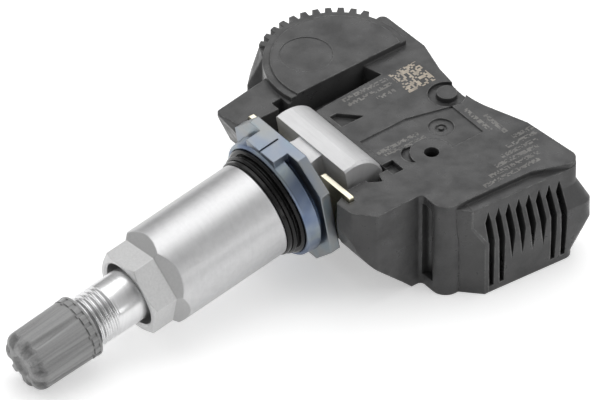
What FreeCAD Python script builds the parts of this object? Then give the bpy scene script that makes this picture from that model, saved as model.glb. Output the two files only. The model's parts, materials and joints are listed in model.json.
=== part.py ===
import FreeCAD, Part
import math
import os
import Sketcher

# Tyre pressure sensor with a clamp-in metal valve.
# The swivel axis of the valve is the X axis of every sub-part. Sizes named "..._y" and "..._x" are
# places in the level housing, measured from that axis and from the valve's middle plane. Places along
# the valve are distances from the swivel axis towards the cap. The finished pieces are then set down
# with the underside of the housing on Z = 0 and the middle of the whole part over the origin.

# Driving dimensions, in millimetres and degrees
SIZES = [
    ("overcut", 1.0, "how far a cut runs past the surface"),
    # cross-bar and neck
    ("bar_length", 15.1, "cross-bar, end to end"),
    ("bar_radius", 5.1, "round back of the cross-bar, about the swivel axis"),
    ("bar_front", 1.05, "flat front of the cross-bar"),
    ("bar_flat", 4.95, "half height over the flats"),
    ("bar_edge", 0.35, "broken edges at the bar's ends"),
    ("neck_width", 4.9, "neck where it leaves the bar"),
    ("neck_foot_width", 9.4, "neck where it meets the collar"),
    ("neck_drop", 0.4, "neck, lower than the bar's flats"),
    ("neck_rise", 1.3, "neck, up to the collar"),
    ("neck_bend", 2.9, "where the neck starts to spread, from the swivel axis"),
    ("neck_round", 2.6, "hollow of the neck"),
    ("shank_root", 0.5, "shank let into the neck"),
    # collar
    ("collar_start", 5.1, "rear face of the collar"),
    ("collar_length", 4.15, "collar, front to rear"),
    ("collar_plate", 1.5, "thickness of the square rear plate"),
    ("collar_width", 18.8, "rear plate, side to side"),
    ("collar_flat", 9.55, "height of the flat top"),
    ("collar_corner", 4.15, "cut corners of the rear plate"),
    ("flange_radius", 8.95, "rear rim of the collar's flange"),
    ("flange_mouth", 8.75, "front rim of the flange"),
    ("flange_rise", 0.5, "slope from the waist to the flange"),
    ("flange_break", 0.25, "edge of the flange's front rim"),
    ("waist_radius", 8.0, "waist between flange and plate"),
    ("waist_floor", 0.15, "floor of the waist, front to rear"),
    ("web_root", 1.4, "bridge let into the waist"),
    ("web_width", 6.0, "flat-topped bridge over the waist"),
    ("seam_width", 0.28, "seam in the flat top"),
    ("seam_length", 3.4, "seam, along the valve"),
    ("seam_depth", 0.5, "seam, into the flat top"),
    # stem
    ("shank_radius", 4.72, "threaded shank inside the nut"),
    ("shank_end", 27.0, "front end of the shank"),
    ("nose_radius", 3.85, "nose with the cap thread"),
    ("nose_end", 49.3, "tip of the stem"),
    ("nose_chamfer", 0.5, "lead-in of the nose"),
    ("core_bore", 2.6, "bore for the valve core"),
    ("core_bore_length", 15.9, "bore for the valve core, from the stem's tip"),
    ("air_bore", 1.2, "air way through the stem"),
    ("air_mouth", 1.0, "air way's mouth, radius"),
    ("air_exit", 2.9, "air way's mouth under the neck, from the swivel axis"),
    # rubber and washer
    ("grommet_recess", 0.8, "grommet's seat in the collar"),
    ("grommet_radius", 8.1, "lip of the grommet flange"),
    ("grommet_lip", 0.25, "lip, standing out of the collar"),
    ("grommet_groove", 7.25, "groove between lip and bead"),
    ("grommet_groove_floor", 0.2, "floor of the groove, front to rear"),
    ("grommet_slope", 0.35, "slopes on both sides of the groove"),
    ("grommet_bead", 7.65, "bead at the front of the grommet flange"),
    ("grommet_taper", 0.2, "tapered foot of the grommet"),
    ("grommet_edge", 0.25, "edge of the grommet flange"),
    ("grommet_front", 10.75, "front face of the grommet flange"),
    ("grommet_neck", 5.65, "grommet neck, in the rim hole"),
    ("grommet_neck_end", 14.0, "front end of the grommet neck"),
    ("washer_radius", 7.3, "slip washer"),
    ("washer_thickness", 0.75, "slip washer"),
    ("washer_edge", 0.15, "edges of the slip washer"),
    ("ring_gap", 0.1, "play round the grommet neck and flange"),
    ("shank_gap", 0.03, "play of the rings on the shank"),
    # union nut
    ("nut_length", 22.0, "union nut, end to end"),
    ("nut_radius", 7.05, "sleeve of the union nut"),
    ("nut_edge", 0.15, "rear edge of the sleeve"),
    ("nut_bore_gap", 0.08, "thread play of the nut"),
    ("nut_counterbore", 6.0, "clears the grommet neck"),
    ("nut_counterbore_depth", 3.6, "clears the grommet neck"),
    ("hex_sides", 6, "sides of the hexagon"),
    ("hex_wall", 0.7, "hexagon, from the bore to a flat"),
    ("hex_length", 3.8, "length of the flats"),
    ("hex_ramp", 45.0, "slope between flat and sleeve"),
    ("hex_chamfer", 0.75, "chamfer of the hexagon's corners"),
    ("hex_chamfer_length", 0.45, "chamfer of the corners, along the valve"),
    ("hex_turn", -9.3, "turn of the hexagon about the valve"),
    ("mouth_chamfer", 0.3, "edge of the nut's mouth"),
    # cap
    ("cap_reach", 7.9, "cap, from its rim to the stem's tip"),
    ("cap_length", 10.3, "cap, end to end"),
    ("cap_rim_radius", 4.5, "cap at its rim"),
    ("cap_tip_radius", 4.4, "cap at its tip"),
    ("cap_edge", 0.9, "rounded edge of the tip"),
    ("cap_bore_gap", 0.08, "thread play of the cap"),
    ("cap_dish_radius", 1.9, "dish in the tip"),
    ("cap_dish_depth", 0.7, "dish in the tip"),
    ("cap_dish_slope", 0.3, "slanted side of the dish"),
    ("cap_collar", 0.7, "plain ring at the rim"),
    ("cap_collar_step", 0.12, "plain ring over the ribs"),
    ("flute_count", 8, "grip flutes"),
    ("flute_radius", 1.2, "grip flutes"),
    ("flute_depth", 0.3, "grip flutes"),
    ("flute_start", 0.4, "flutes, from the plain ring"),
    ("pocket_radius", 0.75, "end pockets of the flutes"),
    ("pocket_middle", 3.85, "end pockets, from the middle of the cap"),
    ("pocket_depth", 1.1, "end pockets of the flutes"),
    ("cap_turn", 22.5, "turn of the flutes about the valve"),
    ("seal_radius", 3.7, "cap seal"),
    ("seal_hole", 1.7, "cap seal"),
    ("seal_thickness", 0.8, "cap seal"),
    # valve core
    ("core_radius", 2.55, "core body"),
    ("core_inset", 1.0, "core body, inside the stem's tip"),
    ("core_length", 11.9, "core body, end to end"),
    ("core_rear_chamfer", 0.4, "inner end of the core body"),
    ("core_front_chamfer", 0.3, "front end of the core body"),
    ("core_slot", 1.2, "driver slot across the core body"),
    ("core_slot_depth", 2.2, "driver slot across the core body"),
    ("chamber_radius", 1.5, "spring chamber"),
    ("chamber_floor", 1.6, "from the core's inner end to the spring chamber"),
    ("chamber_length", 6.6, "spring chamber"),
    ("pin_radius", 0.6, "core plunger"),
    ("pin_gap", 0.08, "running play of the plunger"),
    ("pin_stands", 0.6, "plunger, out of the core body"),
    ("pin_chamfer", 0.15, "front end of the plunger"),
    ("pin_shoulder", 1.3, "shoulder that the spring bears on"),
    ("pin_shoulder_length", 0.6, "shoulder that the spring bears on"),
    ("poppet_radius", 2.0, "head that closes the core"),
    ("poppet_thickness", 0.6, "head that closes the core"),
    ("core_seal_thickness", 0.6, "rubber washer under the head"),
    ("core_seal_inset", 0.1, "rubber washer, inside the head's rim"),
    ("core_seal_gap", 0.01, "rubber washer on the plunger"),
    ("spring_wire", 0.3, "spring, side of its square wire"),
    ("spring_turns", 5, "spring"),
    # housing, main block
    ("deck_z", 2.5, "top face"),
    ("base_depth", 13.0, "underside below the swivel axis"),
    ("left_jaw_x", 15.2, "outer side of the left jaw"),
    ("left_jaw_front", 6.3, "front of the left jaw"),
    ("left_jaw_inner", 10.5, "inner side of the left jaw"),
    ("left_jaw_slant", 0.8, "slanted mouth of the left jaw"),
    ("left_side_y", 3.6, "left side, where the lobe begins"),
    ("left_side_out", 1.45, "left side, out towards the lobe"),
    ("right_jaw_inner", 8.6, "inner side of the right jaw"),
    ("right_jaw_x", 15.5, "outer side of the right jaw"),
    ("right_jaw_front", 5.2, "front of the right jaw"),
    ("jaw_corner", 2.6, "slanted corner of the right jaw"),
    ("jaw_lean", 0.4, "front of the right jaw, out of square"),
    ("jaw_round", 0.7, "rounded corners of the jaws"),
    ("jaw_tip_round", 0.3, "tip of the right jaw"),
    ("jaw_flare", 1.4, "flared mouth between the jaws"),
    ("scoop_y", 5.1, "front wall right of the jaws"),
    ("shoulder_x", 20.2, "right side in front of the fins"),
    ("shoulder_round", 2.2, "corner of the front wall"),
    ("recess_left", 15.75, "recess in the front wall"),
    ("recess_right", 17.9, "recess in the front wall"),
    ("recess_depth", 1.3, "recess in the front wall"),
    ("recess_top_z", 1.1, "upper end of that recess"),
    ("recess_foot_z", 11.3, "lower end of that recess, below the axis"),
    ("recess_round", 0.7, "recess in the front wall"),
    ("hollow_x", 3.5, "middle of the hollow in the back"),
    ("hollow_y", 22.4, "middle of the hollow in the back"),
    ("hollow_left_x", 3.8, "left part of the hollow"),
    ("hollow_left_y", 23.4, "left part of the hollow"),
    ("back_corner_x", 8.8, "left end of the hollow back"),
    ("back_corner_y", 24.8, "left end of the hollow back"),
    ("back_right_x", 12.5, "right end of the hollow back"),
    ("back_right_y", 25.7, "right end of the hollow back"),
    ("back_round", 14.0, "radius of the hollow back"),
    # housing, finned end
    ("end_y", 8.9, "front side of the finned end at the top"),
    ("end_front_in", 2.0, "front side, back at the kink"),
    ("end_top_x", 21.9, "finned end at the top"),
    ("end_back_y", 26.85, "back of the finned end at the top"),
    ("end_back_spread", 1.1, "finned end, wider at the back"),
    ("end_ledge_z", 1.7, "ledge beside the deck"),
    ("end_bend_z", 1.3, "where the end wall starts to slope, below the axis"),
    ("end_kink_z", 4.3, "kink of the end wall, below the axis"),
    ("end_turn_z", 7.2, "where the back starts to slope in, below the axis"),
    ("end_foot_z", 12.2, "lower edge of that slope, below the axis"),
    ("end_bulge", 0.95, "end wall, out to the kink"),
    ("end_bulge_back", 1.55, "back corner of the finned end, out to the kink"),
    ("end_foot_in", 0.7, "back corner of the finned end, in at the foot"),
    ("end_foot_cut", 3.3, "back of the finned end, in at the foot"),
    ("end_round", 1.6, "back corner of the finned end"),
    ("end_root", 3.0, "finned end let into the block"),
    ("crest_x", 20.8, "deck's edge over the fins, at its bend"),
    ("crest_y", 19.5, "deck's edge over the fins, at its bend"),
    ("crest_back_x", 22.8, "deck's edge over the fins, near the back"),
    ("crest_back_y", 24.8, "deck's edge over the fins, near the back"),
    ("fin_pitch", 1.66, "slots between the fins"),
    ("fin_gap", 1.0, "slots between the fins"),
    ("fin_long_gap", 0.72, "long slots at their lower end"),
    ("fin_first_y", 11.35, "first slot"),
    ("fin_floor_x", 20.5, "floor of the slots"),
    ("fin_top_z", 0.5, "pointed upper end of the slots"),
    ("fin_shoulder_z", 1.3, "where the slots reach their width, below the axis"),
    ("fin_short_z", 8.7, "pointed lower end of the short slots, below the axis"),
    ("fin_long_z", 12.0, "lower end of the long slots, below the axis"),
    ("fin_long_count", 2, "long slots at each end"),
    ("fin_short_count", 4, "short slots"),
    # housing, battery lobe
    ("lobe_x", 13.0, "middle of the lobe, to the left"),
    ("lobe_y", 13.0, "middle of the lobe"),
    ("lobe_radius", 10.2, "lobe, between the teeth"),
    ("lobe_z", 3.3, "top of the lobe"),
    ("lobe_disc_radius", 9.2, "raised disc on the lobe"),
    ("lobe_disc_step", 0.25, "raised disc on the lobe"),
    ("tooth_count", 11, "teeth round the lobe"),
    ("tooth_first", 121.0, "angle of the first tooth"),
    ("tooth_last", 213.0, "angle of the last tooth"),
    ("tooth_width", 1.0, "teeth"),
    ("tooth_height", 0.95, "teeth"),
    ("tooth_taper", 0.1, "teeth, narrower at the tip on each side"),
    ("tooth_root", 0.5, "teeth let into the lobe"),
    ("horn_x", 17.6, "corner beside the teeth"),
    ("horn_y", 24.5, "corner beside the teeth"),
    ("horn_round", 0.9, "corners beside the lobe"),
    ("lobe_tie", 2.5, "block let into the lobe"),
    ("mark_x", 16.3, "round ejector mark on the lobe, to the left"),
    ("mark_y", 10.2, "round ejector mark on the lobe"),
    ("mark_radius", 3.65, "round ejector mark on the lobe"),
    ("mark_depth", 0.08, "round ejector mark on the lobe"),
    ("skirt_x", 22.2, "skirt beside the teeth at its upper edge, to the left"),
    ("skirt_y", 6.7, "skirt beside the teeth at its upper edge"),
    ("skirt_near_x", 20.0, "front end of that edge, to the left"),
    ("skirt_near_y", 5.6, "front end of that edge"),
    ("skirt_root", 4.0, "skirt let into the lobe"),
    ("skirt_top_z", 2.9, "upper edge of the skirt"),
    ("skirt_bend_z", 2.6, "where the skirt turns upright, below the axis"),
    ("skirt_out", 1.9, "skirt, outward to the bend"),
    ("skirt_forward", 1.2, "skirt's front end, forward to the bend"),
    # housing, trench beside the lobe
    ("trench_left", 10.5, "lobe side of the trench"),
    ("trench_right", 7.0, "deck side of the trench"),
    ("trench_front", 3.6, "front end of the trench"),
    ("trench_front_skew", 0.9, "front end of the trench, out of square"),
    ("trench_back_skew", 0.8, "back end of the trench, out of square"),
    ("trench_taper", 0.6, "trench, narrower at the back"),
    ("trench_back", 16.4, "back end of the trench"),
    ("trench_depth", 3.4, "trench"),
    # housing, saddle for the bar
    ("bar_gap", 0.08, "running play of the bar in its saddle"),
    ("saddle_slope", 15.0, "saddle floor ahead of the bar"),
    ("lip_front", 2.3, "front edge of the saddle floor"),
    ("corner_root", 0.6, "corners behind the bar's ends, into the saddle"),
    ("corner_near", 0.5, "corner behind the right end, at its front"),
    ("corner_far", 1.55, "corners behind the bar's ends, outward"),
    ("corner_front", 0.9, "corners behind the bar's ends, front side"),
    ("corner_back", 2.6, "corners behind the bar's ends, back side"),
    ("corner_skew", 0.7, "corner behind the right end, out of square"),
    ("corner_depth", 3.5, "corners behind the bar's ends"),
    ("chin_round", 7.0, "rounding under the jaws"),
    ("chin_knee_y", 4.0, "knee of the jaws' underside"),
    ("chin_knee_z", 5.6, "knee of the jaws' underside"),
    ("left_chin_y", 3.4, "bend of the left jaw's sloping front"),
    ("left_chin_z", 4.1, "bend of the left jaw's sloping front"),
    ("chin_toe_y", 1.9, "lower bend of the jaws' underside"),
    ("chin_toe_z", 11.4, "lower bend of the jaws' underside"),
    ("chin_toe_round", 3.5, "lower bend, radius"),
    ("chin_foot_y", 4.4, "front edge of the underside"),
    # housing, top details
    ("port_x", 9.4, "pressure port"),
    ("port_y", 11.6, "pressure port"),
    ("port_radius", 1.05, "pressure port"),
    ("port_boss_radius", 3.0, "round seat of the port"),
    ("hollow_side", 1.15, "hollow beside the port's seat, to the left"),
    ("hollow_front", 2.0, "hollow beside the port's seat, to the front"),
    ("hollow_radius", 1.85, "hollow beside the port's seat"),
    ("hollow_depth", 0.55, "hollow beside the port's seat"),
    ("stud_x", 1.1, "round stud"),
    ("stud_y", 20.8, "round stud"),
    ("stud_radius", 1.42, "round stud"),
    ("stud_stands", 0.35, "round stud, over the deck"),
    ("stud_pit_radius", 2.6, "pit round the stud"),
    ("stud_pit_depth", 0.5, "pit round the stud"),
    ("dimple_x", 5.8, "dimple with the gate mark"),
    ("dimple_y", 16.1, "dimple with the gate mark"),
    ("dimple_radius", 1.75, "dimple at the panel"),
    ("dimple_floor", 0.8, "dimple at its floor"),
    ("dimple_depth", 0.5, "dimple with the gate mark"),
    ("gate_radius", 0.35, "gate mark"),
    ("gate_height", 0.35, "gate mark"),
    ("panel_depth", 0.25, "sunk panel of the deck"),
    ("panel_left", 1.7, "sunk panel, left side"),
    ("panel_front", 5.3, "sunk panel, front side"),
    ("panel_corner_x", 3.5, "sunk panel, back left corner"),
    ("panel_corner_y", 13.1, "sunk panel, start of the slanted corner"),
    ("panel_back", 19.8, "sunk panel, back side"),
    ("panel_right", 10.3, "sunk panel, right side"),
    ("panel_step_y", 14.3, "sunk panel, behind the port"),
    ("panel_near_x", 5.6, "sunk panel, right side near the bar"),
    ("panel_near_y", 8.4, "sunk panel, right side near the bar"),
    ("niche_left", 4.9, "pointed niche, left end"),
    ("niche_right", 2.2, "pointed niche, right side"),
    ("niche_back", 9.1, "pointed niche, its point"),
    ("niche_bend", 6.5, "pointed niche, bend of its left side"),
    ("niche_depth", 0.7, "pointed niche"),
    ("notch_left", 7.4, "notch beside the bar's right end"),
    ("notch_right", 9.9, "notch beside the bar's right end"),
    ("notch_front", 4.6, "notch beside the bar's right end"),
    ("notch_back", 6.4, "notch beside the bar's right end"),
    ("notch_depth", 0.9, "notch beside the bar's right end"),
    # housing, inside
    ("wall", 1.3, "walls and roof"),
    ("cell_bay_radius", 8.5, "bay for the cell"),
    ("board_bay_right", 19.0, "right side of the board bay"),
    ("board_bay_front", 7.0, "front side of the board bay"),
    ("board_bay_back", 21.2, "back side of the board bay"),
    ("board_bay_left", 5.8, "left side of the board bay"),
    ("underside_rim", 0.7, "rim of the underside over the potting"),
    ("post_radius", 1.2, "posts that carry the board"),
    # electronics
    ("chip_height", 1.8, "pressure chip"),
    ("chip_side", 5.0, "pressure chip"),
    ("chip_hole", 0.75, "hole in the pressure chip"),
    ("chip_hole_depth", 0.9, "hole in the pressure chip"),
    ("port_seal_height", 0.7, "seal between chip and roof"),
    ("port_seal_radius", 2.0, "seal between chip and roof"),
    ("board_thickness", 1.0, "circuit board"),
    ("board_margin", 0.3, "circuit board in its bay"),
    ("cell_radius", 8.0, "battery cell"),
    ("cell_height", 5.0, "battery cell"),
    ("cell_edge", 0.5, "cover of the cell, inside its rim"),
    ("cell_step", 0.4, "cover of the cell, over its rim"),
    ("tab_thickness", 0.2, "battery straps"),
    ("tab_width", 2.2, "battery straps"),
    ("tab_on_cell", 3.0, "straps, past the middle of the cell"),
    ("tab_on_board", 3.0, "upper strap, on the board"),
    ("tab_offset", 2.6, "lower strap, ahead of the upper one"),
    ("tab_gap", 0.3, "lower strap's leg, beside the cell"),
    ("ferrite_length", 9.0, "antenna core"),
    ("ferrite_width", 2.6, "antenna core"),
    ("ferrite_x", 6.4, "antenna core"),
    ("ferrite_y", 13.6, "antenna core"),
    ("coil_length", 6.0, "antenna winding"),
    ("coil_wall", 0.7, "antenna winding"),
    ("crystal_length", 3.2, "crystal"),
    ("crystal_width", 2.5, "crystal"),
    ("crystal_height", 0.8, "crystal"),
    ("crystal_x", 1.4, "crystal, left side"),
    ("crystal_y", 9.6, "crystal, front side"),
    ("controller_side", 4.5, "controller chip"),
    ("controller_x", 2.4, "controller chip, left side"),
    ("controller_y", 15.6, "controller chip, front side"),
    ("controller_height", 0.9, "controller chip"),
    ("potting_play", 0.02, "potting in its bay"),
    # brass clip
    ("clip_y", 3.27, "middle of the clip, ahead of the axis"),
    ("clip_thickness", 0.8, "sheet of the clip"),
    ("clip_left", 11.3, "left end of the clip"),
    ("clip_right", 10.84, "right end of the clip"),
    ("clip_gap", 4.44, "half the gap of its fork"),
    ("clip_top_z", 3.1, "top of the clip"),
    ("clip_bridge_top", 6.0, "bridge under the neck"),
    ("clip_bridge_bottom", 6.9, "bridge under the neck"),
    ("clip_leg_x", 6.4, "cut lower corners of the clip, at the bridge"),
    ("clip_leg_z", 2.9, "cut lower corners of the clip, at the sides"),
    ("clip_play", 0.1, "clip in its slots"),
    ("clip_reach", 0.5, "clip slots, into the gap between the jaws"),
    ("clip_edge", 0.25, "edges of the clip's ends"),
]


# Worked out from the driving dimensions: the droop at which the cap's edge touches the plane that the
# housing stands on, the slants of the finned end at its widest, half the angle of its back corner, and
# the middle of the whole part seen from above
DERIVED = [
    ("valve_droop",
     "=asin((base_depth - cap_edge)"
     " / hypot(nose_end - cap_reach + cap_length - cap_edge; cap_tip_radius - cap_edge))"
     " - atan((cap_tip_radius - cap_edge) / (nose_end - cap_reach + cap_length - cap_edge))"),
    ("side_slant",
     "=atan((end_back_spread + end_bulge_back - end_bulge)"
     " / (end_back_y + end_bulge_back - end_y - end_front_in))"),
    ("back_slant",
     "=atan((end_back_y + end_bulge_back - back_right_y)"
     " / (end_top_x + end_back_spread + end_bulge_back - back_right_x))"),
    ("corner_half", "=(90 deg - side_slant - back_slant) / 2"),
    ("middle_x",
     "=(end_top_x + end_back_spread + end_bulge_back"
     " + end_round * (1 - cos(back_slant + corner_half) / sin(corner_half))"
     " - lobe_x - lobe_radius - tooth_height) / 2"),
    ("middle_y",
     "=(end_back_y + end_bulge_back"
     " + end_round * (1 - sin(back_slant + corner_half) / sin(corner_half))"
     " - (nose_end - cap_reach + cap_length - cap_edge) * cos(valve_droop)"
     " - (cap_tip_radius - cap_edge) * sin(valve_droop) - cap_edge) / 2"),
]


class Size:
    """A length that carries its number and the sheet expression behind it."""

    def __init__(self, number, text):
        self.number = float(number)
        self.text = text

    def _join(self, sign, other, number):
        return Size(number, f"({self.text} {sign} {text_of(other)})")

    def __add__(self, other):
        return self._join("+", other, self.number + number_of(other))

    def __sub__(self, other):
        return self._join("-", other, self.number - number_of(other))

    def __mul__(self, other):
        return self._join("*", other, self.number * number_of(other))

    def __truediv__(self, other):
        return self._join("/", other, self.number / number_of(other))

    def __neg__(self):
        return Size(-self.number, f"(-{self.text})")


def number_of(value):
    return value.number if isinstance(value, Size) else float(value)


def text_of(value):
    return value.text if isinstance(value, Size) else f"({float(value)!r})"


def tangent_of(angle):
    return Size(math.tan(math.radians(angle.number)), f"tan({angle.text} * 1 deg)")


def cosine_of(angle):
    return Size(math.cos(math.radians(angle.number)), f"cos({angle.text} * 1 deg)")


def sine_of(angle):
    return Size(math.sin(math.radians(angle.number)), f"sin({angle.text} * 1 deg)")


HALF_TURN = Size(180, "180")


class Sheet:
    """The spreadsheet of driving dimensions; an attribute of it is a Size."""

    def __init__(self, doc):
        self.sheet = doc.addObject("Spreadsheet::Sheet", "Sizes")
        self.sizes = {}
        for row, (alias, number, note) in enumerate(SIZES, start=1):
            self.sheet.set(f"A{row}", note)
            self.sheet.set(f"B{row}", str(number))
            self.sheet.setAlias(f"B{row}", alias)
            self.sizes[alias] = Size(number, f"Sizes.{alias}")
        for row, (alias, formula) in enumerate(DERIVED, start=len(SIZES) + 1):
            self.sheet.set(f"B{row}", formula)
            self.sheet.setAlias(f"B{row}", alias)

    def __getattr__(self, alias):
        return self.sizes[alias]


doc = FreeCAD.newDocument("tyre_pressure_sensor")
s = Sheet(doc)
doc.recompute()


# Helpers that draw, pad, cut and turn

def bind(thing, prop, value):
    """Sets a property now and ties it to the sheet."""
    thing.setExpression(prop, text_of(value))


def new_body(label):
    body = doc.addObject("PartDesign::Body", label)
    body.Label = label
    return body


def origin_part(body, role):
    return [part for part in body.Origin.OriginFeatures if part.Role == role][0]


def new_sketch(body, name, role, offset=None, turn=None, middle=None):
    """A sketch on one of the body's own planes, moved off it or in it, or turned about its x axis."""
    sketch = body.newObject("Sketcher::SketchObject", name)
    sketch.AttachmentSupport = [(origin_part(body, role), "")]
    sketch.MapMode = "FlatFace"
    if offset is not None:
        bind(sketch, "AttachmentOffset.Base.z", offset)
    if middle is not None:
        bind(sketch, "AttachmentOffset.Base.x", middle[0])
        bind(sketch, "AttachmentOffset.Base.y", middle[1])
    if turn is not None:
        tilt = FreeCAD.Rotation(FreeCAD.Vector(1, 0, 0), 1)
        sketch.AttachmentOffset = FreeCAD.Placement(FreeCAD.Vector(), tilt)
        bind(sketch, "AttachmentOffset.Rotation.Angle", turn)
    return sketch


def fix_point(sketch, geometry, end, x, y):
    for kind, value in (("DistanceX", x), ("DistanceY", y)):
        index = sketch.addConstraint(Sketcher.Constraint(kind, -1, 1, geometry, end, number_of(value)))
        bind(sketch, f"Constraints[{index}]", value)


def draw_outline(sketch, points):
    """A closed outline; a point is (x, y), or (x, y, radius) where its corner is round."""
    corners = [FreeCAD.Vector(number_of(point[0]), number_of(point[1]), 0) for point in points]
    count = len(points)
    starts, ends = list(corners), list(corners)
    arcs = {}
    for i, point in enumerate(points):
        if len(point) < 3:
            continue
        to_last = (corners[i - 1] - corners[i]).normalize()
        to_next = (corners[(i + 1) % count] - corners[i]).normalize()
        half = to_last.getAngle(to_next) / 2
        reach = number_of(point[2]) / math.tan(half)
        ends[i] = corners[i] + to_last * reach
        starts[i] = corners[i] + to_next * reach
        middle_way = (to_last + to_next).normalize()
        centre = corners[i] + middle_way * (number_of(point[2]) / math.sin(half))
        middle = centre - middle_way * number_of(point[2])
        left_turn = to_last.cross(to_next).z < 0
        arcs[i] = (Part.Arc(ends[i], middle, starts[i]), left_turn)
    lines = [
        sketch.addGeometry(Part.LineSegment(starts[i], ends[(i + 1) % count]), False)
        for i in range(count)
    ]
    for i, point in enumerate(points):
        before, after = lines[i - 1], lines[i]
        if i not in arcs:
            sketch.addConstraint(Sketcher.Constraint("Coincident", before, 2, after, 1))
            fix_point(sketch, after, 1, point[0], point[1])
            continue
        arc, left_turn = arcs[i]
        index = sketch.addGeometry(arc, False)
        first, last = (1, 2) if left_turn else (2, 1)
        sketch.addConstraint(Sketcher.Constraint("Tangent", before, 2, index, first))
        sketch.addConstraint(Sketcher.Constraint("Tangent", index, last, after, 1))
        radius = sketch.addConstraint(Sketcher.Constraint("Radius", index, number_of(point[2])))
        bind(sketch, f"Constraints[{radius}]", point[2])
        corner = sketch.addGeometry(Part.Point(corners[i]), True)
        fix_point(sketch, corner, 1, point[0], point[1])
        sketch.addConstraint(Sketcher.Constraint("PointOnObject", corner, 1, before))
        sketch.addConstraint(Sketcher.Constraint("PointOnObject", corner, 1, after))


def draw_circle(sketch, x, y, radius):
    middle = FreeCAD.Vector(number_of(x), number_of(y), 0)
    circle = Part.Circle(middle, FreeCAD.Vector(0, 0, 1), number_of(radius))
    index = sketch.addGeometry(circle, False)
    size = sketch.addConstraint(Sketcher.Constraint("Radius", index, number_of(radius)))
    bind(sketch, f"Constraints[{size}]", radius)
    fix_point(sketch, index, 3, x, y)


def outline(body, name, role, points, offset=None, turn=None):
    sketch = new_sketch(body, name + "_sketch", role, offset, turn)
    draw_outline(sketch, points)
    return sketch


def circles(body, name, role, places, offset=None):
    sketch = new_sketch(body, name + "_sketch", role, offset)
    for x, y, radius in places:
        draw_circle(sketch, x, y, radius)
    return sketch


def rectangle(left, front, right, back):
    return [(left, front), (right, front), (right, back), (left, back)]


def extrude(body, kind, name, sketch, length, both_ways=False, reverse=False):
    feature = body.newObject("PartDesign::" + kind, name)
    feature.Profile = sketch
    bind(feature, "Length", length)
    feature.Midplane = both_ways
    feature.Reversed = reverse
    return feature


def pad(body, name, sketch, length, both_ways=False, reverse=False):
    """Adds the sketch along its normal, or against it where reverse is set."""
    return extrude(body, "Pad", name, sketch, length, both_ways, reverse)


def pocket(body, name, sketch, length, both_ways=False, reverse=False):
    """Cuts against the sketch's normal, or along it where reverse is set."""
    return extrude(body, "Pocket", name, sketch, length, both_ways, reverse)


def turn_about(body, kind, name, points):
    """Turns a profile about the valve; its points are (radius, distance from the swivel axis)."""
    drawn = [(point[0], -point[1], *point[2:]) for point in points]
    sketch = outline(body, name, "XY_Plane", drawn)
    feature = body.newObject("PartDesign::" + kind, name)
    feature.Profile = sketch
    feature.ReferenceAxis = (sketch, ["V_Axis"])
    feature.Angle = 360
    return feature


def turned(body, name, points):
    return turn_about(body, "Revolution", name, points)


def bored(body, name, points):
    return turn_about(body, "Groove", name, points)


def repeat_round(body, name, feature, role, count, angle=360):
    pattern = body.newObject("PartDesign::PolarPattern", name)
    pattern.Originals = [feature]
    pattern.Axis = (origin_part(body, role), [""])
    if isinstance(angle, Size):
        bind(pattern, "Angle", angle)
    else:
        pattern.Angle = angle
    bind(pattern, "Occurrences", count)
    body.Tip = pattern
    return pattern


def repeat_along(body, name, feature, role, count, length):
    pattern = body.newObject("PartDesign::LinearPattern", name)
    pattern.Originals = [feature]
    pattern.Direction = (origin_part(body, role), [""])
    bind(pattern, "Length", length)
    bind(pattern, "Occurrences", count)
    body.Tip = pattern
    return pattern


# The valve stem: nose, shank, neck and cross-bar

def make_valve_stem():
    body = new_body("valve_stem")
    end = s.bar_length / 2
    rod = outline(body, "bar", "XZ_Plane", [
        (-end, 0),
        (-end, s.bar_radius - s.bar_edge),
        (-end + s.bar_edge, s.bar_radius),
        (end - s.bar_edge, s.bar_radius),
        (end, s.bar_radius - s.bar_edge),
        (end, 0),
    ])
    bar = body.newObject("PartDesign::Revolution", "bar")
    bar.Profile = rod
    bar.ReferenceAxis = (rod, ["H_Axis"])
    bar.Angle = 360
    reach = s.bar_radius + s.overcut
    flats = outline(body, "bar_flats", "YZ_Plane", rectangle(-s.bar_front, -s.bar_flat, reach, s.bar_flat))
    draw_outline(flats, rectangle(-reach, -reach, reach + s.overcut, reach))
    pocket(body, "bar_flats", flats, s.bar_length + s.overcut, both_ways=True)
    foot = -s.collar_start
    low, high = s.bar_flat - s.neck_drop, s.bar_flat + s.neck_rise
    neck = [
        (0, -low),
        (0, low),
        (-s.neck_bend, low, s.neck_round),
        (foot, high),
        (foot, -low),
    ]
    pad(body, "neck", outline(body, "neck", "YZ_Plane", neck), s.neck_foot_width, both_ways=True)
    narrow, wide = s.neck_width / 2, s.neck_foot_width / 2
    for name, side in (("neck_left", -1), ("neck_right", 1)):
        waist = outline(body, name, "XY_Plane", [
            (narrow * side, -s.bar_front),
            (narrow * side, -s.neck_bend, s.neck_round),
            (wide * side, foot),
            ((wide + s.overcut) * side, foot),
            ((wide + s.overcut) * side, -s.bar_front),
        ])
        pocket(body, name, waist, high * 2, both_ways=True)
    turned(body, "shank", [
        (0, s.collar_start - s.shank_root),
        (s.shank_radius, s.collar_start - s.shank_root),
        (s.shank_radius, s.shank_end),
        (s.nose_radius, s.shank_end + s.shank_radius - s.nose_radius),
        (s.nose_radius, s.nose_end - s.nose_chamfer),
        (s.nose_radius - s.nose_chamfer, s.nose_end),
        (0, s.nose_end),
    ])
    bored(body, "core_way", [
        (0, s.air_exit),
        (s.air_bore, s.air_exit),
        (s.air_bore, s.nose_end - s.core_bore_length - s.core_bore + s.air_bore),
        (s.core_bore, s.nose_end - s.core_bore_length),
        (s.core_bore, s.nose_end + s.overcut),
        (0, s.nose_end + s.overcut),
    ])
    mouth = circles(body, "air_mouth", "XY_Plane", [(0, -s.air_exit, s.air_mouth)])
    pocket(body, "air_mouth", mouth, s.bar_flat + s.overcut)
    return body


# The collar: front ring, flange, waist, square plate and flat top

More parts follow.
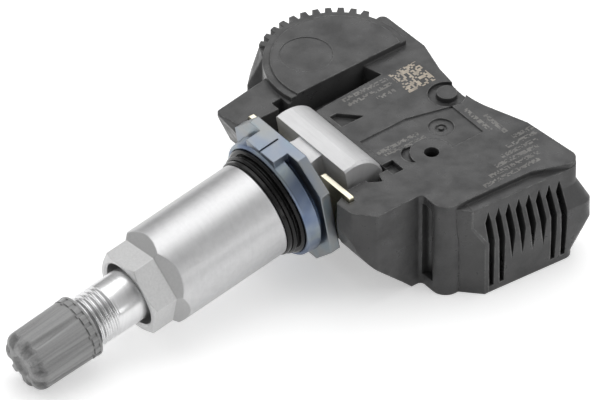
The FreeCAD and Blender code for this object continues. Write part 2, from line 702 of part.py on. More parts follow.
def make_collar():
    body = new_body("collar")
    bore = s.shank_radius + s.shank_gap
    front = s.collar_start + s.collar_length
    plate_front = s.collar_start + s.collar_plate
    turned(body, "ring", [
        (bore, s.collar_start),
        (s.waist_radius, s.collar_start),
        (s.waist_radius, plate_front + s.waist_floor),
        (s.flange_radius, plate_front + s.waist_floor + s.flange_rise),
        (s.flange_mouth, front - s.flange_break),
        (s.flange_mouth - s.flange_break, front),
        (bore, front),
    ])
    half = s.collar_width / 2
    top = s.collar_flat
    plate = [
        (-half, -top + s.collar_corner),
        (-half + s.collar_corner, -top),
        (half - s.collar_corner, -top),
        (half, -top + s.collar_corner),
        (half, top - s.collar_corner),
        (half - s.collar_corner, top),
        (-half + s.collar_corner, top),
        (-half, top - s.collar_corner),
    ]
    sketch = outline(body, "plate", "XZ_Plane", plate, offset=s.collar_start)
    draw_circle(sketch, 0, 0, bore)
    pad(body, "plate", sketch, s.collar_plate)
    web = outline(body, "web", "XZ_Plane", rectangle(
        -(s.web_width / 2), s.waist_radius - s.web_root, s.web_width / 2, top), offset=s.collar_start)
    pad(body, "web", web, s.collar_length - s.flange_break)
    seat = s.grommet_radius + s.ring_gap
    bored(body, "grommet_seat", [
        (0, front - s.grommet_recess),
        (seat, front - s.grommet_recess),
        (seat, front + s.overcut),
        (0, front + s.overcut),
    ])
    reach = s.flange_radius + s.overcut
    crown = outline(body, "crown_cut", "XZ_Plane", rectangle(-reach, top, reach, reach),
                    offset=s.collar_start)
    pocket(body, "crown_cut", crown, s.collar_length, reverse=True)
    seam = outline(body, "seam", "XY_Plane", rectangle(
        -(s.seam_width / 2), -front, s.seam_width / 2, -front + s.seam_length), offset=top)
    pocket(body, "seam", seam, s.seam_depth)
    return body


def make_grommet():
    body = new_body("grommet")
    bore = s.shank_radius + s.shank_gap
    seat = s.collar_start + s.collar_length - s.grommet_recess
    lip = s.collar_start + s.collar_length + s.grommet_lip
    turned(body, "ring", [
        (bore, seat),
        (s.grommet_radius - s.grommet_taper, seat),
        (s.grommet_radius, lip - s.grommet_lip),
        (s.grommet_radius, lip),
        (s.grommet_radius - s.grommet_edge, lip + s.grommet_edge),
        (s.grommet_groove, lip + s.grommet_slope),
        (s.grommet_groove, lip + s.grommet_slope + s.grommet_groove_floor),
        (s.grommet_bead, lip + s.grommet_slope * 2 + s.grommet_groove_floor),
        (s.grommet_bead, s.grommet_front - s.grommet_edge),
        (s.grommet_bead - s.grommet_edge, s.grommet_front),
        (s.grommet_neck, s.grommet_front),
        (s.grommet_neck, s.grommet_neck_end),
        (bore, s.grommet_neck_end),
    ])
    return body


def make_thrust_washer():
    body = new_body("thrust_washer")
    front = s.grommet_front + s.washer_thickness
    turned(body, "ring", [
        (s.grommet_neck + s.ring_gap, s.grommet_front),
        (s.washer_radius - s.washer_edge, s.grommet_front),
        (s.washer_radius, s.grommet_front + s.washer_edge),
        (s.washer_radius, front - s.washer_edge),
        (s.washer_radius - s.washer_edge, front),
        (s.grommet_neck + s.ring_gap, front),
    ])
    return body


# The union nut: sleeve, hexagon with its ramps, bore and counterbore

def make_union_nut():
    body = new_body("union_nut")
    rear = s.grommet_front + s.washer_thickness
    front = rear + s.nut_length
    bore = s.shank_radius + s.nut_bore_gap
    flat = bore + s.hex_wall
    corner = flat / cosine_of(HALF_TURN / s.hex_sides)
    turned(body, "sleeve", [
        (s.nut_counterbore, rear),
        (s.nut_radius - s.nut_edge, rear),
        (s.nut_radius, rear + s.nut_edge),
        (s.nut_radius, front - s.hex_length),
        (corner, front - s.hex_length + s.nut_radius - corner),
        (corner, front - s.hex_chamfer_length),
        (corner - s.hex_chamfer, front),
        (bore + s.mouth_chamfer, front),
        (bore, front - s.mouth_chamfer),
        (bore, rear + s.nut_counterbore_depth + s.nut_counterbore - bore),
        (s.nut_counterbore, rear + s.nut_counterbore_depth),
    ])
    rise = s.nut_radius + s.overcut - flat
    ramp_start = front - s.hex_length
    ramp = [
        (-front - s.overcut, flat),
        (-ramp_start, flat),
        (-ramp_start + rise / tangent_of(s.hex_ramp), flat + rise),
        (-front - s.overcut, flat + rise),
    ]
    sketch = outline(body, "flat", "YZ_Plane", ramp, turn=s.hex_turn)
    cut = pocket(body, "flat", sketch, s.nut_radius * 2, both_ways=True)
    repeat_round(body, "flats", cut, "Y_Axis", s.hex_sides)
    return body


# The cap: fluted shell, plain ring at its rim, dish in its tip

def cap_rim():
    return s.nose_end - s.cap_reach


def make_valve_cap():
    body = new_body("valve_cap")
    rim = cap_rim()
    tip = rim + s.cap_length
    bore = s.nose_radius + s.cap_bore_gap
    floor = s.nose_end + s.seal_thickness
    turned(body, "shell", [
        (bore, rim),
        (s.cap_rim_radius + s.cap_collar_step, rim),
        (s.cap_rim_radius + s.cap_collar_step, rim + s.cap_collar),
        (s.cap_rim_radius, rim + s.cap_collar),
        (s.cap_tip_radius, tip, s.cap_edge),
        (s.cap_dish_radius, tip),
        (s.cap_dish_radius - s.cap_dish_slope, tip - s.cap_dish_depth),
        (0, tip - s.cap_dish_depth),
        (0, floor),
        (bore, floor),
    ])
    turn = s.cap_turn
    for name, start, centre, radius in (
            ("flute", rim + s.cap_collar + s.flute_start,
             s.cap_rim_radius + s.flute_radius - s.flute_depth, s.flute_radius),
            ("end_pocket", tip - s.pocket_depth, s.pocket_middle, s.pocket_radius)):
        sketch = new_sketch(body, name + "_sketch", "XZ_Plane", offset=start)
        draw_circle(sketch, centre * sine_of(turn), centre * cosine_of(turn), radius)
        cut = pocket(body, name, sketch, s.cap_length, reverse=True)
        repeat_round(body, name + "s", cut, "Y_Axis", s.flute_count)
    return body


def make_cap_seal():
    body = new_body("cap_seal")
    turned(body, "ring", [
        (s.seal_hole, s.nose_end),
        (s.seal_radius, s.nose_end),
        (s.seal_radius, s.nose_end + s.seal_thickness),
        (s.seal_hole, s.nose_end + s.seal_thickness),
    ])
    return body


# The valve core: body, plunger, washer and spring

def core_front():
    return s.nose_end - s.core_inset


def core_rear():
    return core_front() - s.core_length


def chamber_start():
    return core_rear() + s.chamber_floor


def chamber_end():
    return chamber_start() + s.chamber_length


def make_core_body():
    body = new_body("core_body")
    hole = s.pin_radius + s.pin_gap
    turned(body, "barrel", [
        (hole, core_rear()),
        (s.core_radius - s.core_rear_chamfer, core_rear()),
        (s.core_radius, core_rear() + s.core_rear_chamfer),
        (s.core_radius, core_front() - s.core_front_chamfer),
        (s.core_radius - s.core_front_chamfer, core_front()),
        (hole, core_front()),
    ])
    bored(body, "chamber", [
        (0, chamber_start()),
        (s.chamber_radius, chamber_start()),
        (s.chamber_radius, chamber_end()),
        (0, chamber_end()),
    ])
    slot = outline(body, "slot", "XZ_Plane", rectangle(
        -s.core_radius, -(s.core_slot / 2), s.core_radius, s.core_slot / 2), offset=core_front())
    pocket(body, "slot", slot, s.core_slot_depth)
    return body


def make_core_pin():
    body = new_body("core_pin")
    poppet_top = core_rear() - s.core_seal_thickness
    shoulder = chamber_end() - s.pin_shoulder_length
    tip = core_front() + s.pin_stands
    turned(body, "plunger", [
        (0, poppet_top - s.poppet_thickness),
        (s.poppet_radius, poppet_top - s.poppet_thickness),
        (s.poppet_radius, poppet_top),
        (s.pin_radius, poppet_top),
        (s.pin_radius, shoulder),
        (s.pin_shoulder, shoulder),
        (s.pin_shoulder, chamber_end()),
        (s.pin_radius, chamber_end()),
        (s.pin_radius, tip - s.pin_chamfer),
        (s.pin_radius - s.pin_chamfer, tip),
        (0, tip),
    ])
    return body


def make_core_seal():
    body = new_body("core_seal")
    turned(body, "ring", [
        (s.pin_radius + s.core_seal_gap, core_rear() - s.core_seal_thickness),
        (s.poppet_radius - s.core_seal_inset, core_rear() - s.core_seal_thickness),
        (s.poppet_radius - s.core_seal_inset, core_rear()),
        (s.pin_radius + s.core_seal_gap, core_rear()),
    ])
    return body


def make_core_spring():
    """The spring winds from the chamber's floor to the plunger's shoulder."""
    body = new_body("core_spring")
    half = s.spring_wire / 2
    start = chamber_start() + half
    end = chamber_end() - s.pin_shoulder_length - half
    mean = (s.chamber_radius + s.pin_radius) / 2
    section = outline(body, "wire", "XY_Plane", rectangle(mean - half, -end - half, mean + half, -end + half))
    helix = body.newObject("PartDesign::AdditiveHelix", "wire")
    helix.Profile = section
    helix.ReferenceAxis = (section, ["V_Axis"])
    helix.Mode = 1
    bind(helix, "Height", end - start)
    bind(helix, "Turns", s.spring_turns)
    bind(helix, "Pitch", (end - start) / s.spring_turns)
    return body


# The moulded housing

def block_outline():
    """Deck seen from above, from the left jaw round by the right."""
    return [
        (-s.left_jaw_x, -s.left_jaw_front, s.jaw_round),
        (-s.left_jaw_inner - s.left_jaw_slant, -s.left_jaw_front + s.left_jaw_slant),
        (-s.left_jaw_inner, -s.lip_front),
        (s.right_jaw_inner, -s.lip_front),
        (s.right_jaw_inner + s.jaw_flare, -s.right_jaw_front, s.jaw_tip_round),
        (s.right_jaw_x - s.jaw_corner, -s.right_jaw_front + s.jaw_lean, s.jaw_round),
        (s.right_jaw_x, -s.right_jaw_front + s.jaw_corner, s.jaw_round),
        (s.right_jaw_x, s.scoop_y, s.jaw_round),
        (s.shoulder_x, s.scoop_y, s.shoulder_round),
        (s.shoulder_x, s.back_right_y),
        (s.back_right_x, s.back_right_y),
        (s.hollow_x, s.hollow_y, s.back_round),
        (-s.hollow_left_x, s.hollow_left_y),
        (-s.back_corner_x, s.back_corner_y, s.horn_round),
        (-s.horn_x, s.horn_y, s.horn_round),
        (-s.lobe_x - s.lobe_tie, s.lobe_y),
        (-s.left_jaw_x - s.left_side_out, s.left_side_y),
    ]


def end_section(body, name, height, front_in, out, back_out, back_in):
    """One level section of the finned end."""
    side = s.end_top_x + out
    return outline(body, name, "XY_Plane", [
        (s.shoulder_x - s.end_root, s.end_y + front_in),
        (side, s.end_y + front_in),
        (s.end_top_x + s.end_back_spread + back_out, s.end_back_y + back_in, s.end_round),
        (s.back_right_x, s.back_right_y),
    ], offset=height)


def make_finned_end(body, base):
    """Upright at the top, out to the kink, upright again, and the back sloping in to the foot."""
    front, out, back = s.end_front_in, s.end_bulge, s.end_bulge_back
    foot_x, foot_y = s.end_bulge_back - s.end_foot_in, s.end_bulge_back - s.end_foot_cut
    levels = [
        ("end_ledge", s.end_ledge_z, 0, 0, 0, 0),
        ("end_bend", -s.end_bend_z, 0, 0, 0, 0),
        ("end_kink", -s.end_kink_z, front, out, back, back),
        ("end_turn", -s.end_turn_z, front, out, back, back),
        ("end_foot", -s.end_foot_z, front, out, foot_x, foot_y),
        ("end_base", base, front, out, foot_x, foot_y),
    ]
    sections = [end_section(body, *level) for level in levels]
    loft = body.newObject("PartDesign::AdditiveLoft", "finned_end")
    loft.Profile = sections[0]
    loft.Sections = sections[1:]
    loft.Ruled = True
    crest = outline(body, "end_crest", "XY_Plane", [
        (s.shoulder_x - s.end_root, s.end_y),
        (s.shoulder_x, s.end_y),
        (s.crest_x, s.crest_y),
        (s.crest_back_x, s.crest_back_y),
        (s.end_top_x + s.end_back_spread, s.end_back_y, s.end_round),
        (s.back_right_x, s.back_right_y),
    ], offset=s.end_ledge_z)
    pad(body, "end_crest", crest, s.deck_z - s.end_ledge_z)


def slot_outline(y, low, low_width):
    """A slot between two fins, seen from the right: pointed at the top, and below where it ends early."""
    half = s.fin_gap / 2
    if low_width is None:
        foot = [(y, -low)]
    else:
        foot = [(y + low_width / 2, -low), (y - low_width / 2, -low)]
    return [
        (y, s.fin_top_z),
        (y + half, -s.fin_shoulder_z),
        (y + half, -s.end_kink_z),
        *foot,
        (y - half, -s.end_kink_z),
        (y - half, -s.fin_shoulder_z),
    ]


def skirt_section(body, name, height, out, forward):
    """One level section of the skirt beside the teeth."""
    return outline(body, name, "XY_Plane", [
        (-s.skirt_x - out, s.skirt_y),
        (-s.skirt_near_x - out, s.skirt_near_y - forward),
        (-s.skirt_near_x + s.skirt_root, s.skirt_near_y + s.skirt_root),
        (-s.skirt_x + s.skirt_root, s.skirt_y + s.skirt_root),
    ], offset=height)


def make_housing():
    body = new_body("housing")
    base = -s.base_depth
    height = s.base_depth + s.deck_z

    # block, finned end and lobe
    pad(body, "block", outline(body, "block", "XY_Plane", block_outline(), offset=base), height)
    make_finned_end(body, base)
    middle = [(-s.lobe_x, s.lobe_y, s.lobe_radius)]
    pad(body, "lobe", circles(body, "lobe", "XY_Plane", middle, offset=base), s.base_depth + s.lobe_z)

    # skirt that spreads below the lobe's front side
    upper = skirt_section(body, "skirt_upper", s.skirt_top_z, 0, 0)
    bend = skirt_section(body, "skirt_bend", -s.skirt_bend_z, s.skirt_out, s.skirt_forward)
    skirt = body.newObject("PartDesign::AdditiveLoft", "skirt")
    skirt.Profile = upper
    skirt.Sections = [bend, skirt_section(body, "skirt_foot", base, s.skirt_out, s.skirt_forward)]
    skirt.Ruled = True

    # raised disc on the lobe, its top cut straight along the trench
    disc = circles(body, "lobe_disc", "XY_Plane", [(-s.lobe_x, s.lobe_y, s.lobe_disc_radius)],
                   offset=s.lobe_z)
    pad(body, "lobe_disc", disc, s.lobe_disc_step)
    reach = s.lobe_radius + s.overcut
    trim = outline(body, "lobe_trim", "XY_Plane", rectangle(
        -s.trench_left, s.lobe_y - reach, reach - s.lobe_x, s.lobe_y + reach), offset=s.deck_z)
    pocket(body, "lobe_trim", trim, s.lobe_z + s.lobe_disc_step - s.deck_z, reverse=True)

    mark = circles(body, "ejector_mark", "XY_Plane", [(-s.mark_x, s.mark_y, s.mark_radius)],
                   offset=s.lobe_z + s.lobe_disc_step)
    pocket(body, "ejector_mark", mark, s.mark_depth)

    # teeth
    tooth = new_sketch(body, "tooth_sketch", "XY_Plane", base, middle=(-s.lobe_x, s.lobe_y))
    draw_outline(tooth, tooth_outline())
    first_tooth = pad(body, "tooth", tooth, s.base_depth + s.lobe_z)
    teeth = body.newObject("PartDesign::PolarPattern", "teeth")
    teeth.Originals = [first_tooth]
    teeth.Axis = (tooth, ["N_Axis"])
    bind(teeth, "Angle", s.tooth_last - s.tooth_first)
    bind(teeth, "Occurrences", s.tooth_count)
    body.Tip = teeth

    # saddle for the bar, open to the front and top
    seat = s.bar_radius + s.bar_gap
    front = -s.left_jaw_front - s.overcut
    top = s.deck_z + s.overcut
    across = s.left_jaw_inner + s.right_jaw_inner
    cradle = circles(body, "cradle", "YZ_Plane", [(0, 0, seat)], offset=-s.left_jaw_inner)
    pocket(body, "cradle", cradle, across, reverse=True)
    saddle = outline(body, "saddle", "YZ_Plane", [
        (front, -seat + tangent_of(s.saddle_slope) * front),
        (0, -seat),
        (0, top),
        (front, top),
    ], offset=-s.left_jaw_inner)
    pocket(body, "saddle", saddle, across, reverse=True)

    # dark corners behind both ends of the bar
    corner_right = outline(body, "corner_right", "XY_Plane", [
        (s.right_jaw_inner - s.corner_root, s.corner_front),
        (s.right_jaw_inner + s.corner_near, s.corner_front),
        (s.right_jaw_inner + s.corner_far, s.corner_back),
        (s.right_jaw_inner - s.corner_root, s.corner_back + s.corner_skew),
    ], offset=s.deck_z)
    pocket(body, "corner_right", corner_right, s.corner_depth)
    corner_left = outline(body, "corner_left", "XY_Plane", rectangle(
        -s.left_jaw_inner - s.corner_far, s.corner_front, -s.left_jaw_inner + s.corner_root, s.corner_back),
        offset=s.deck_z)
    pocket(body, "corner_left", corner_left, s.corner_depth)

    # jaws rounded back underneath
    chin = outline(body, "chin", "YZ_Plane", [
        (front, top),
        (-s.left_jaw_front, s.deck_z),
        (-s.chin_knee_y, -s.chin_knee_z, s.chin_round),
        (s.chin_toe_y, -s.chin_toe_z, s.chin_toe_round),
        (s.chin_foot_y, base - s.overcut),
        (front, base - s.overcut),
    ])
    pocket(body, "chin", chin, (s.left_jaw_x + s.left_side_out + s.right_jaw_x) * 2, both_ways=True)

    chin_left = outline(body, "chin_left", "YZ_Plane", [
        (front, top),
        (-s.left_jaw_front, s.deck_z),
        (-s.left_chin_y, -s.left_chin_z),
        (s.chin_toe_y, -s.chin_toe_z),
        (front, -s.chin_toe_z),
    ], offset=-s.left_jaw_inner)
    pocket(body, "chin_left", chin_left, s.left_jaw_x - s.left_jaw_inner + s.left_side_out + s.overcut)

    # trench
    trench = outline(body, "trench", "XY_Plane", [
        (-s.trench_left, s.trench_front),
        (-s.trench_right, s.trench_front + s.trench_front_skew),
        (-s.trench_right - s.trench_taper, s.trench_back),
        (-s.trench_left, s.trench_back - s.trench_back_skew),
    ], offset=s.deck_z)
    pocket(body, "trench", trench, s.trench_depth)

    # recess in the front wall
    recess = outline(body, "recess", "XY_Plane", [
        (s.recess_left, s.scoop_y - s.overcut),
        (s.recess_right, s.scoop_y - s.overcut),
        (s.recess_right, s.scoop_y + s.recess_depth, s.recess_round),
        (s.recess_left, s.scoop_y + s.recess_depth, s.recess_round),
    ], offset=s.recess_top_z)
    pocket(body, "recess", recess, s.recess_top_z + s.recess_foot_z)

    # slots between the fins: long ones at both ends, short ones in between
    out = s.end_top_x + s.end_bulge_back + s.end_back_spread + s.overcut
    second = s.fin_first_y + s.fin_pitch * s.fin_long_count
    third = second + s.fin_pitch * s.fin_short_count
    for name, y, count, low, low_width in (
            ("near_slot", s.fin_first_y, s.fin_long_count, s.fin_long_z, s.fin_long_gap),
            ("short_slot", second, s.fin_short_count, s.fin_short_z, None),
            ("far_slot", third, s.fin_long_count, s.fin_long_z, s.fin_long_gap)):
        sketch = outline(body, name, "YZ_Plane", slot_outline(y, low, low_width), offset=out)
        cut = pocket(body, name, sketch, out - s.fin_floor_x)
        repeat_along(body, name + "s", cut, "Y_Axis", count, s.fin_pitch * (count - 1))

    # sunk panel, pointed niche and notch of the deck
    panel = outline(body, "panel", "XY_Plane", [
        (s.panel_left, s.panel_front),
        (s.panel_left, s.panel_corner_y),
        (s.panel_corner_x, s.panel_back),
        (s.panel_right, s.panel_back),
        (s.panel_right, s.panel_step_y),
        (s.panel_near_x, s.panel_near_y),
        (s.panel_near_x, s.panel_front),
    ], offset=s.deck_z)
    pocket(body, "panel", panel, s.panel_depth)
    niche = outline(body, "niche", "XY_Plane", [
        (-s.niche_left, s.panel_front),
        (-s.niche_right, s.panel_front),
        (-s.niche_right, s.niche_back),
        (-s.niche_left, s.niche_bend),
    ], offset=s.deck_z)
    pocket(body, "niche", niche, s.niche_depth)
    notch = outline(body, "notch", "XY_Plane", rectangle(
        s.notch_left, s.notch_front, s.notch_right, s.notch_back), offset=s.deck_z)
    pocket(body, "notch", notch, s.notch_depth)

    # seat of the pressure port with the hollow beside it
    hollow = circles(body, "port_hollow", "XY_Plane", [
        (s.port_x - s.hollow_side, s.port_y - s.hollow_front, s.hollow_radius)], offset=s.deck_z)
    pocket(body, "port_hollow", hollow, s.hollow_depth)
    seat_floor = s.deck_z - s.hollow_depth
    ring = circles(body, "port_seat", "XY_Plane", [(s.port_x, s.port_y, s.port_boss_radius)],
                   offset=seat_floor)
    pad(body, "port_seat", ring, s.hollow_depth)

    # stud in its pit, dimple with the gate mark
    pit = circles(body, "stud_pit", "XY_Plane", [(s.stud_x, s.stud_y, s.stud_pit_radius)], offset=s.deck_z)
    pocket(body, "stud_pit", pit, s.stud_pit_depth)
    stud = circles(body, "stud", "XY_Plane", [(s.stud_x, s.stud_y, s.stud_radius)],
                   offset=s.deck_z - s.stud_pit_depth)
    pad(body, "stud", stud, s.stud_pit_depth + s.stud_stands)
    panel_z = s.deck_z - s.panel_depth
    for name, radius, depth in (
            ("dimple_mouth", s.dimple_radius, s.dimple_depth / 2),
            ("dimple_floor", s.dimple_floor, s.dimple_depth)):
        bowl = circles(body, name, "XY_Plane", [(s.dimple_x, s.dimple_y, radius)], offset=panel_z)
        pocket(body, name, bowl, depth)
    gate = circles(body, "gate", "XY_Plane", [(s.dimple_x, s.dimple_y, s.gate_radius)],
                   offset=panel_z - s.dimple_depth)
    pad(body, "gate", gate, s.gate_height)

    # slots for the brass clip
    half = s.clip_thickness / 2 + s.clip_play
    for name, left, right in (
            ("clip_slot_left", -s.clip_left - s.clip_play, -s.left_jaw_inner + s.clip_reach),
            ("clip_slot_right", s.right_jaw_inner - s.clip_reach, s.clip_right + s.clip_play)):
        slot = outline(body, name, "XY_Plane", rectangle(left, -s.clip_y - half, right, -s.clip_y + half),
                       offset=s.deck_z)
        pocket(body, name, slot, height)

    # inside: bays for the cell and the board, port and posts
    roof = s.deck_z - s.wall
    cell_roof = s.deck_z - s.trench_depth - s.wall
    bay = circles(body, "cell_bay", "XY_Plane", [(-s.lobe_x, s.lobe_y, s.cell_bay_radius)], offset=base)
    pocket(body, "cell_bay", bay, s.base_depth + cell_roof, reverse=True)
    board_bay = outline(body, "board_bay", "XY_Plane", board_bay_outline(0), offset=base)
    pocket(body, "board_bay", board_bay, s.base_depth + roof, reverse=True)
    port = circles(body, "port", "XY_Plane", [(s.port_x, s.port_y, s.port_radius)], offset=roof)
    pocket(body, "port", port, s.wall, reverse=True)
    places = [(x, y, s.post_radius) for x, y in post_places()]
    posts = circles(body, "posts", "XY_Plane", places, offset=board_top())
    pad(body, "posts", posts, roof - board_top())
    return body


def tooth_outline():
    """The first tooth, in a plane whose middle is the lobe's."""
    root, tip = s.lobe_radius - s.tooth_root, s.lobe_radius + s.tooth_height
    half_root, half_tip = s.tooth_width / 2 + s.tooth_taper, s.tooth_width / 2 - s.tooth_taper
    corners = [(root, -half_root), (tip, -half_tip), (tip, half_tip), (root, half_root)]
    c, n = cosine_of(s.tooth_first), sine_of(s.tooth_first)
    return [(out * c - side * n, out * n + side * c) for out, side in corners]


def board_bay_outline(margin):
    return rectangle(-s.board_bay_left + margin, s.board_bay_front + margin,
                     s.board_bay_right - margin, s.board_bay_back - margin)


def board_top():
    return s.deck_z - s.wall - s.port_seal_height - s.chip_height


def post_places():
    inset = s.post_radius + s.board_margin
    left, right = -s.board_bay_left + inset, s.board_bay_right - inset
    front, back = s.board_bay_front + inset, s.board_bay_back - inset
    return [(right, front), (right, back), (left, back)]


# Electronics and potting

def cell_top():
    return board_top() - s.board_thickness - s.tab_thickness


def make_circuit_board():
    body = new_body("circuit_board")
    sketch = outline(body, "board", "XY_Plane", board_bay_outline(s.board_margin),
                     offset=board_top() - s.board_thickness)
    pad(body, "board", sketch, s.board_thickness)
    return body


def make_battery_cell():
    body = new_body("battery_cell")
    sketch = circles(body, "can", "XY_Plane", [(-s.lobe_x, s.lobe_y, s.cell_radius)],
                     offset=cell_top() - s.cell_height)
    pad(body, "can", sketch, s.cell_height - s.cell_step)
    cover = circles(body, "cover", "XY_Plane", [(-s.lobe_x, s.lobe_y, s.cell_radius - s.cell_edge)],
                    offset=cell_top() - s.cell_step)
    pad(body, "cover", cover, s.cell_step)
    return body


def make_battery_tabs():
    """The upper strap runs over the cell to the board, the lower one under it and up beside it."""
    half = s.tab_width / 2
    left = -s.lobe_x - s.tab_on_cell
    top = new_body("battery_tab_top")
    sketch = outline(top, "strap", "XY_Plane", rectangle(
        left, s.lobe_y - half, -s.board_bay_left + s.tab_on_board, s.lobe_y + half), offset=cell_top())
    pad(top, "strap", sketch, s.tab_thickness)
    bottom = new_body("battery_tab_bottom")
    middle = s.lobe_y - s.tab_offset
    leg = -s.lobe_x + s.cell_radius + s.tab_gap
    for name, start, length in (
            ("strap", left, s.tab_thickness),
            ("leg", leg, s.cell_height + s.tab_thickness * 2)):
        sketch = outline(bottom, name, "XY_Plane", rectangle(
            start, middle - half, leg + s.tab_thickness, middle + half), offset=potting_top())
        pad(bottom, name, sketch, length)
    return [top, bottom]


def make_pressure_chip():
    body = new_body("pressure_chip")
    half = s.chip_side / 2
    sketch = outline(body, "case", "XY_Plane", rectangle(
        s.port_x - half, s.port_y - half, s.port_x + half, s.port_y + half), offset=board_top())
    pad(body, "case", sketch, s.chip_height)
    hole = circles(body, "hole", "XY_Plane", [(s.port_x, s.port_y, s.chip_hole)],
                   offset=board_top() + s.chip_height)
    pocket(body, "hole", hole, s.chip_hole_depth)
    return body


def make_port_seal():
    body = new_body("port_seal")
    sketch = circles(body, "ring", "XY_Plane", [
        (s.port_x, s.port_y, s.port_seal_radius), (s.port_x, s.port_y, s.port_radius)],
        offset=board_top() + s.chip_height)
    pad(body, "ring", sketch, s.port_seal_height)
    return body


def potting_top():
    return cell_top() - s.cell_height - s.tab_thickness


def make_antenna():
    """A ferrite bar across the board's underside, with its winding, down to the potting."""
    under = board_top() - s.board_thickness
    height = under - potting_top() - s.coil_wall * 2
    middle_z = under - s.coil_wall - height / 2
    x, y = s.ferrite_x, s.ferrite_y
    core = new_body("ferrite_core")
    sketch = outline(core, "bar", "XZ_Plane", rectangle(
        x - s.ferrite_width / 2, middle_z - height / 2, x + s.ferrite_width / 2, middle_z + height / 2),
        offset=-y)
    pad(core, "bar", sketch, s.ferrite_length, both_ways=True)
    coil = new_body("antenna_coil")
    wide = s.ferrite_width / 2 + s.coil_wall
    tall = height / 2 + s.coil_wall
    sketch = outline(coil, "winding", "XZ_Plane", rectangle(
        x - wide, middle_z - tall, x + wide, middle_z + tall), offset=-y)
    draw_outline(sketch, rectangle(
        x - s.ferrite_width / 2, middle_z - height / 2, x + s.ferrite_width / 2, middle_z + height / 2))
    pad(coil, "winding", sketch, s.coil_length, both_ways=True)
    return [core, coil]


def make_board_chips():
    crystal = new_body("crystal")
    x, y = s.crystal_x, s.crystal_y
    sketch = outline(crystal, "can", "XY_Plane", rectangle(
        x, y, x + s.crystal_length, y + s.crystal_width), offset=board_top())
    pad(crystal, "can", sketch, s.crystal_height)
    parts = new_body("board_parts")
    x, y = s.controller_x, s.controller_y
    sketch = outline(parts, "controller", "XY_Plane", rectangle(
        x, y, x + s.controller_side, y + s.controller_side), offset=board_top())
    pad(parts, "controller", sketch, s.controller_height)
    return [crystal, parts]


def make_potting():
    body = new_body("potting")
    low = -s.base_depth + s.underside_rim
    height = potting_top() - low
    sketch = circles(body, "cell_side", "XY_Plane",
                     [(-s.lobe_x, s.lobe_y, s.cell_bay_radius - s.potting_play)], offset=low)
    pad(body, "cell_side", sketch, height)
    sketch = outline(body, "board_side", "XY_Plane", board_bay_outline(s.potting_play), offset=low)
    pad(body, "board_side", sketch, height)
    return body


# The brass fork that keeps the bar in the jaws

def make_retaining_clip():
    body = new_body("retaining_clip")
    sketch = outline(body, "fork", "XZ_Plane", [
        (-s.clip_left, -s.clip_leg_z),
        (-s.clip_leg_x, -s.clip_bridge_bottom),
        (s.clip_leg_x, -s.clip_bridge_bottom),
        (s.clip_right, -s.clip_leg_z),
        (s.clip_right, s.clip_top_z, s.clip_edge),
        (s.clip_gap, s.clip_top_z, s.clip_edge),
        (s.clip_gap, -s.clip_bridge_top),
        (-s.clip_gap, -s.clip_bridge_top),
        (-s.clip_gap, s.clip_top_z, s.clip_edge),
        (-s.clip_left, s.clip_top_z, s.clip_edge),
    ], offset=s.clip_y)
    pad(body, "fork", sketch, s.clip_thickness, both_ways=True)
    return body


VALVE_MAKERS = [
    make_valve_stem, make_collar, make_grommet, make_thrust_washer, make_union_nut,
    make_valve_cap, make_cap_seal, make_core_body, make_core_pin, make_core_seal, make_core_spring,
]

valve_side = [make() for make in VALVE_MAKERS]
housing_side = [
    make_housing(), make_circuit_board(), make_battery_cell(), *make_battery_tabs(), make_pressure_chip(),
    make_port_seal(), *make_antenna(), *make_board_chips(), make_potting(), make_retaining_clip(),
]

# Set down: the swivel axis at its height over the underside, the valve drooping about it
PLACE = "create(<<vector>>; -Sizes.middle_x; -Sizes.middle_y; Sizes.base_depth)"
LEVEL = "create(<<rotation>>; create(<<vector>>; 1; 0; 0); 0)"
DROOP = "create(<<rotation>>; create(<<vector>>; 1; 0; 0); Sizes.valve_droop)"
for bodies, turn in ((valve_side, DROOP), (housing_side, LEVEL)):
    for body in bodies:
        body.setExpression("Placement", f"create(<<placement>>; {PLACE}; {turn})")

doc.recompute()

problems = []
for thing in doc.Objects:
    if "Invalid" in thing.State or "Error" in thing.State:
        problems.append(f"{thing.Label}: {thing.getStatusString()}")
for body in valve_side + housing_side:
    if body.Shape.isNull() or not body.Shape.isValid():
        problems.append(f"{body.Label}: shape is null or not valid")
if problems:
    raise RuntimeError("\n".join(problems))

os.makedirs("parts", exist_ok=True)
for body in valve_side + housing_side:
    body.Shape.exportStep(f"parts/{body.Label}.step")
    box = body.Shape.BoundBox
    print(body.Label, len(body.Shape.Solids), round(body.Shape.Volume, 2),
          [round(v, 2) for v in (box.XMin, box.YMin, box.ZMin, box.XMax, box.YMax, box.ZMax)])
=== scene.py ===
import bpy
import bmesh
import json
import math
from functools import partial
from mathutils import Matrix, Vector


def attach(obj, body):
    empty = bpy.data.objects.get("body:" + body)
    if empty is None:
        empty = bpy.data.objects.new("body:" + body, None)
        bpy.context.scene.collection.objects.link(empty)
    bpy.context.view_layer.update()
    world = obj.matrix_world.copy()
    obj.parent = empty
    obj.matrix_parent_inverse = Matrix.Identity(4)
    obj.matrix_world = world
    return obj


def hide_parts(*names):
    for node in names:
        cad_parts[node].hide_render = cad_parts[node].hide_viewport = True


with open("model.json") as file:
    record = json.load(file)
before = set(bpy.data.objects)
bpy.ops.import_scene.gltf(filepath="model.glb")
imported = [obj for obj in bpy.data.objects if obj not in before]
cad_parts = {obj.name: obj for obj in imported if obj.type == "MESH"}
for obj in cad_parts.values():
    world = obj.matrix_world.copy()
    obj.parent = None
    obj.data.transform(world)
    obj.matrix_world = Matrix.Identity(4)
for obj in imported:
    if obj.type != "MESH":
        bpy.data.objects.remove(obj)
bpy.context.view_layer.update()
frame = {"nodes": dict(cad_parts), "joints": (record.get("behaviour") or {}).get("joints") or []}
MM = 0.001

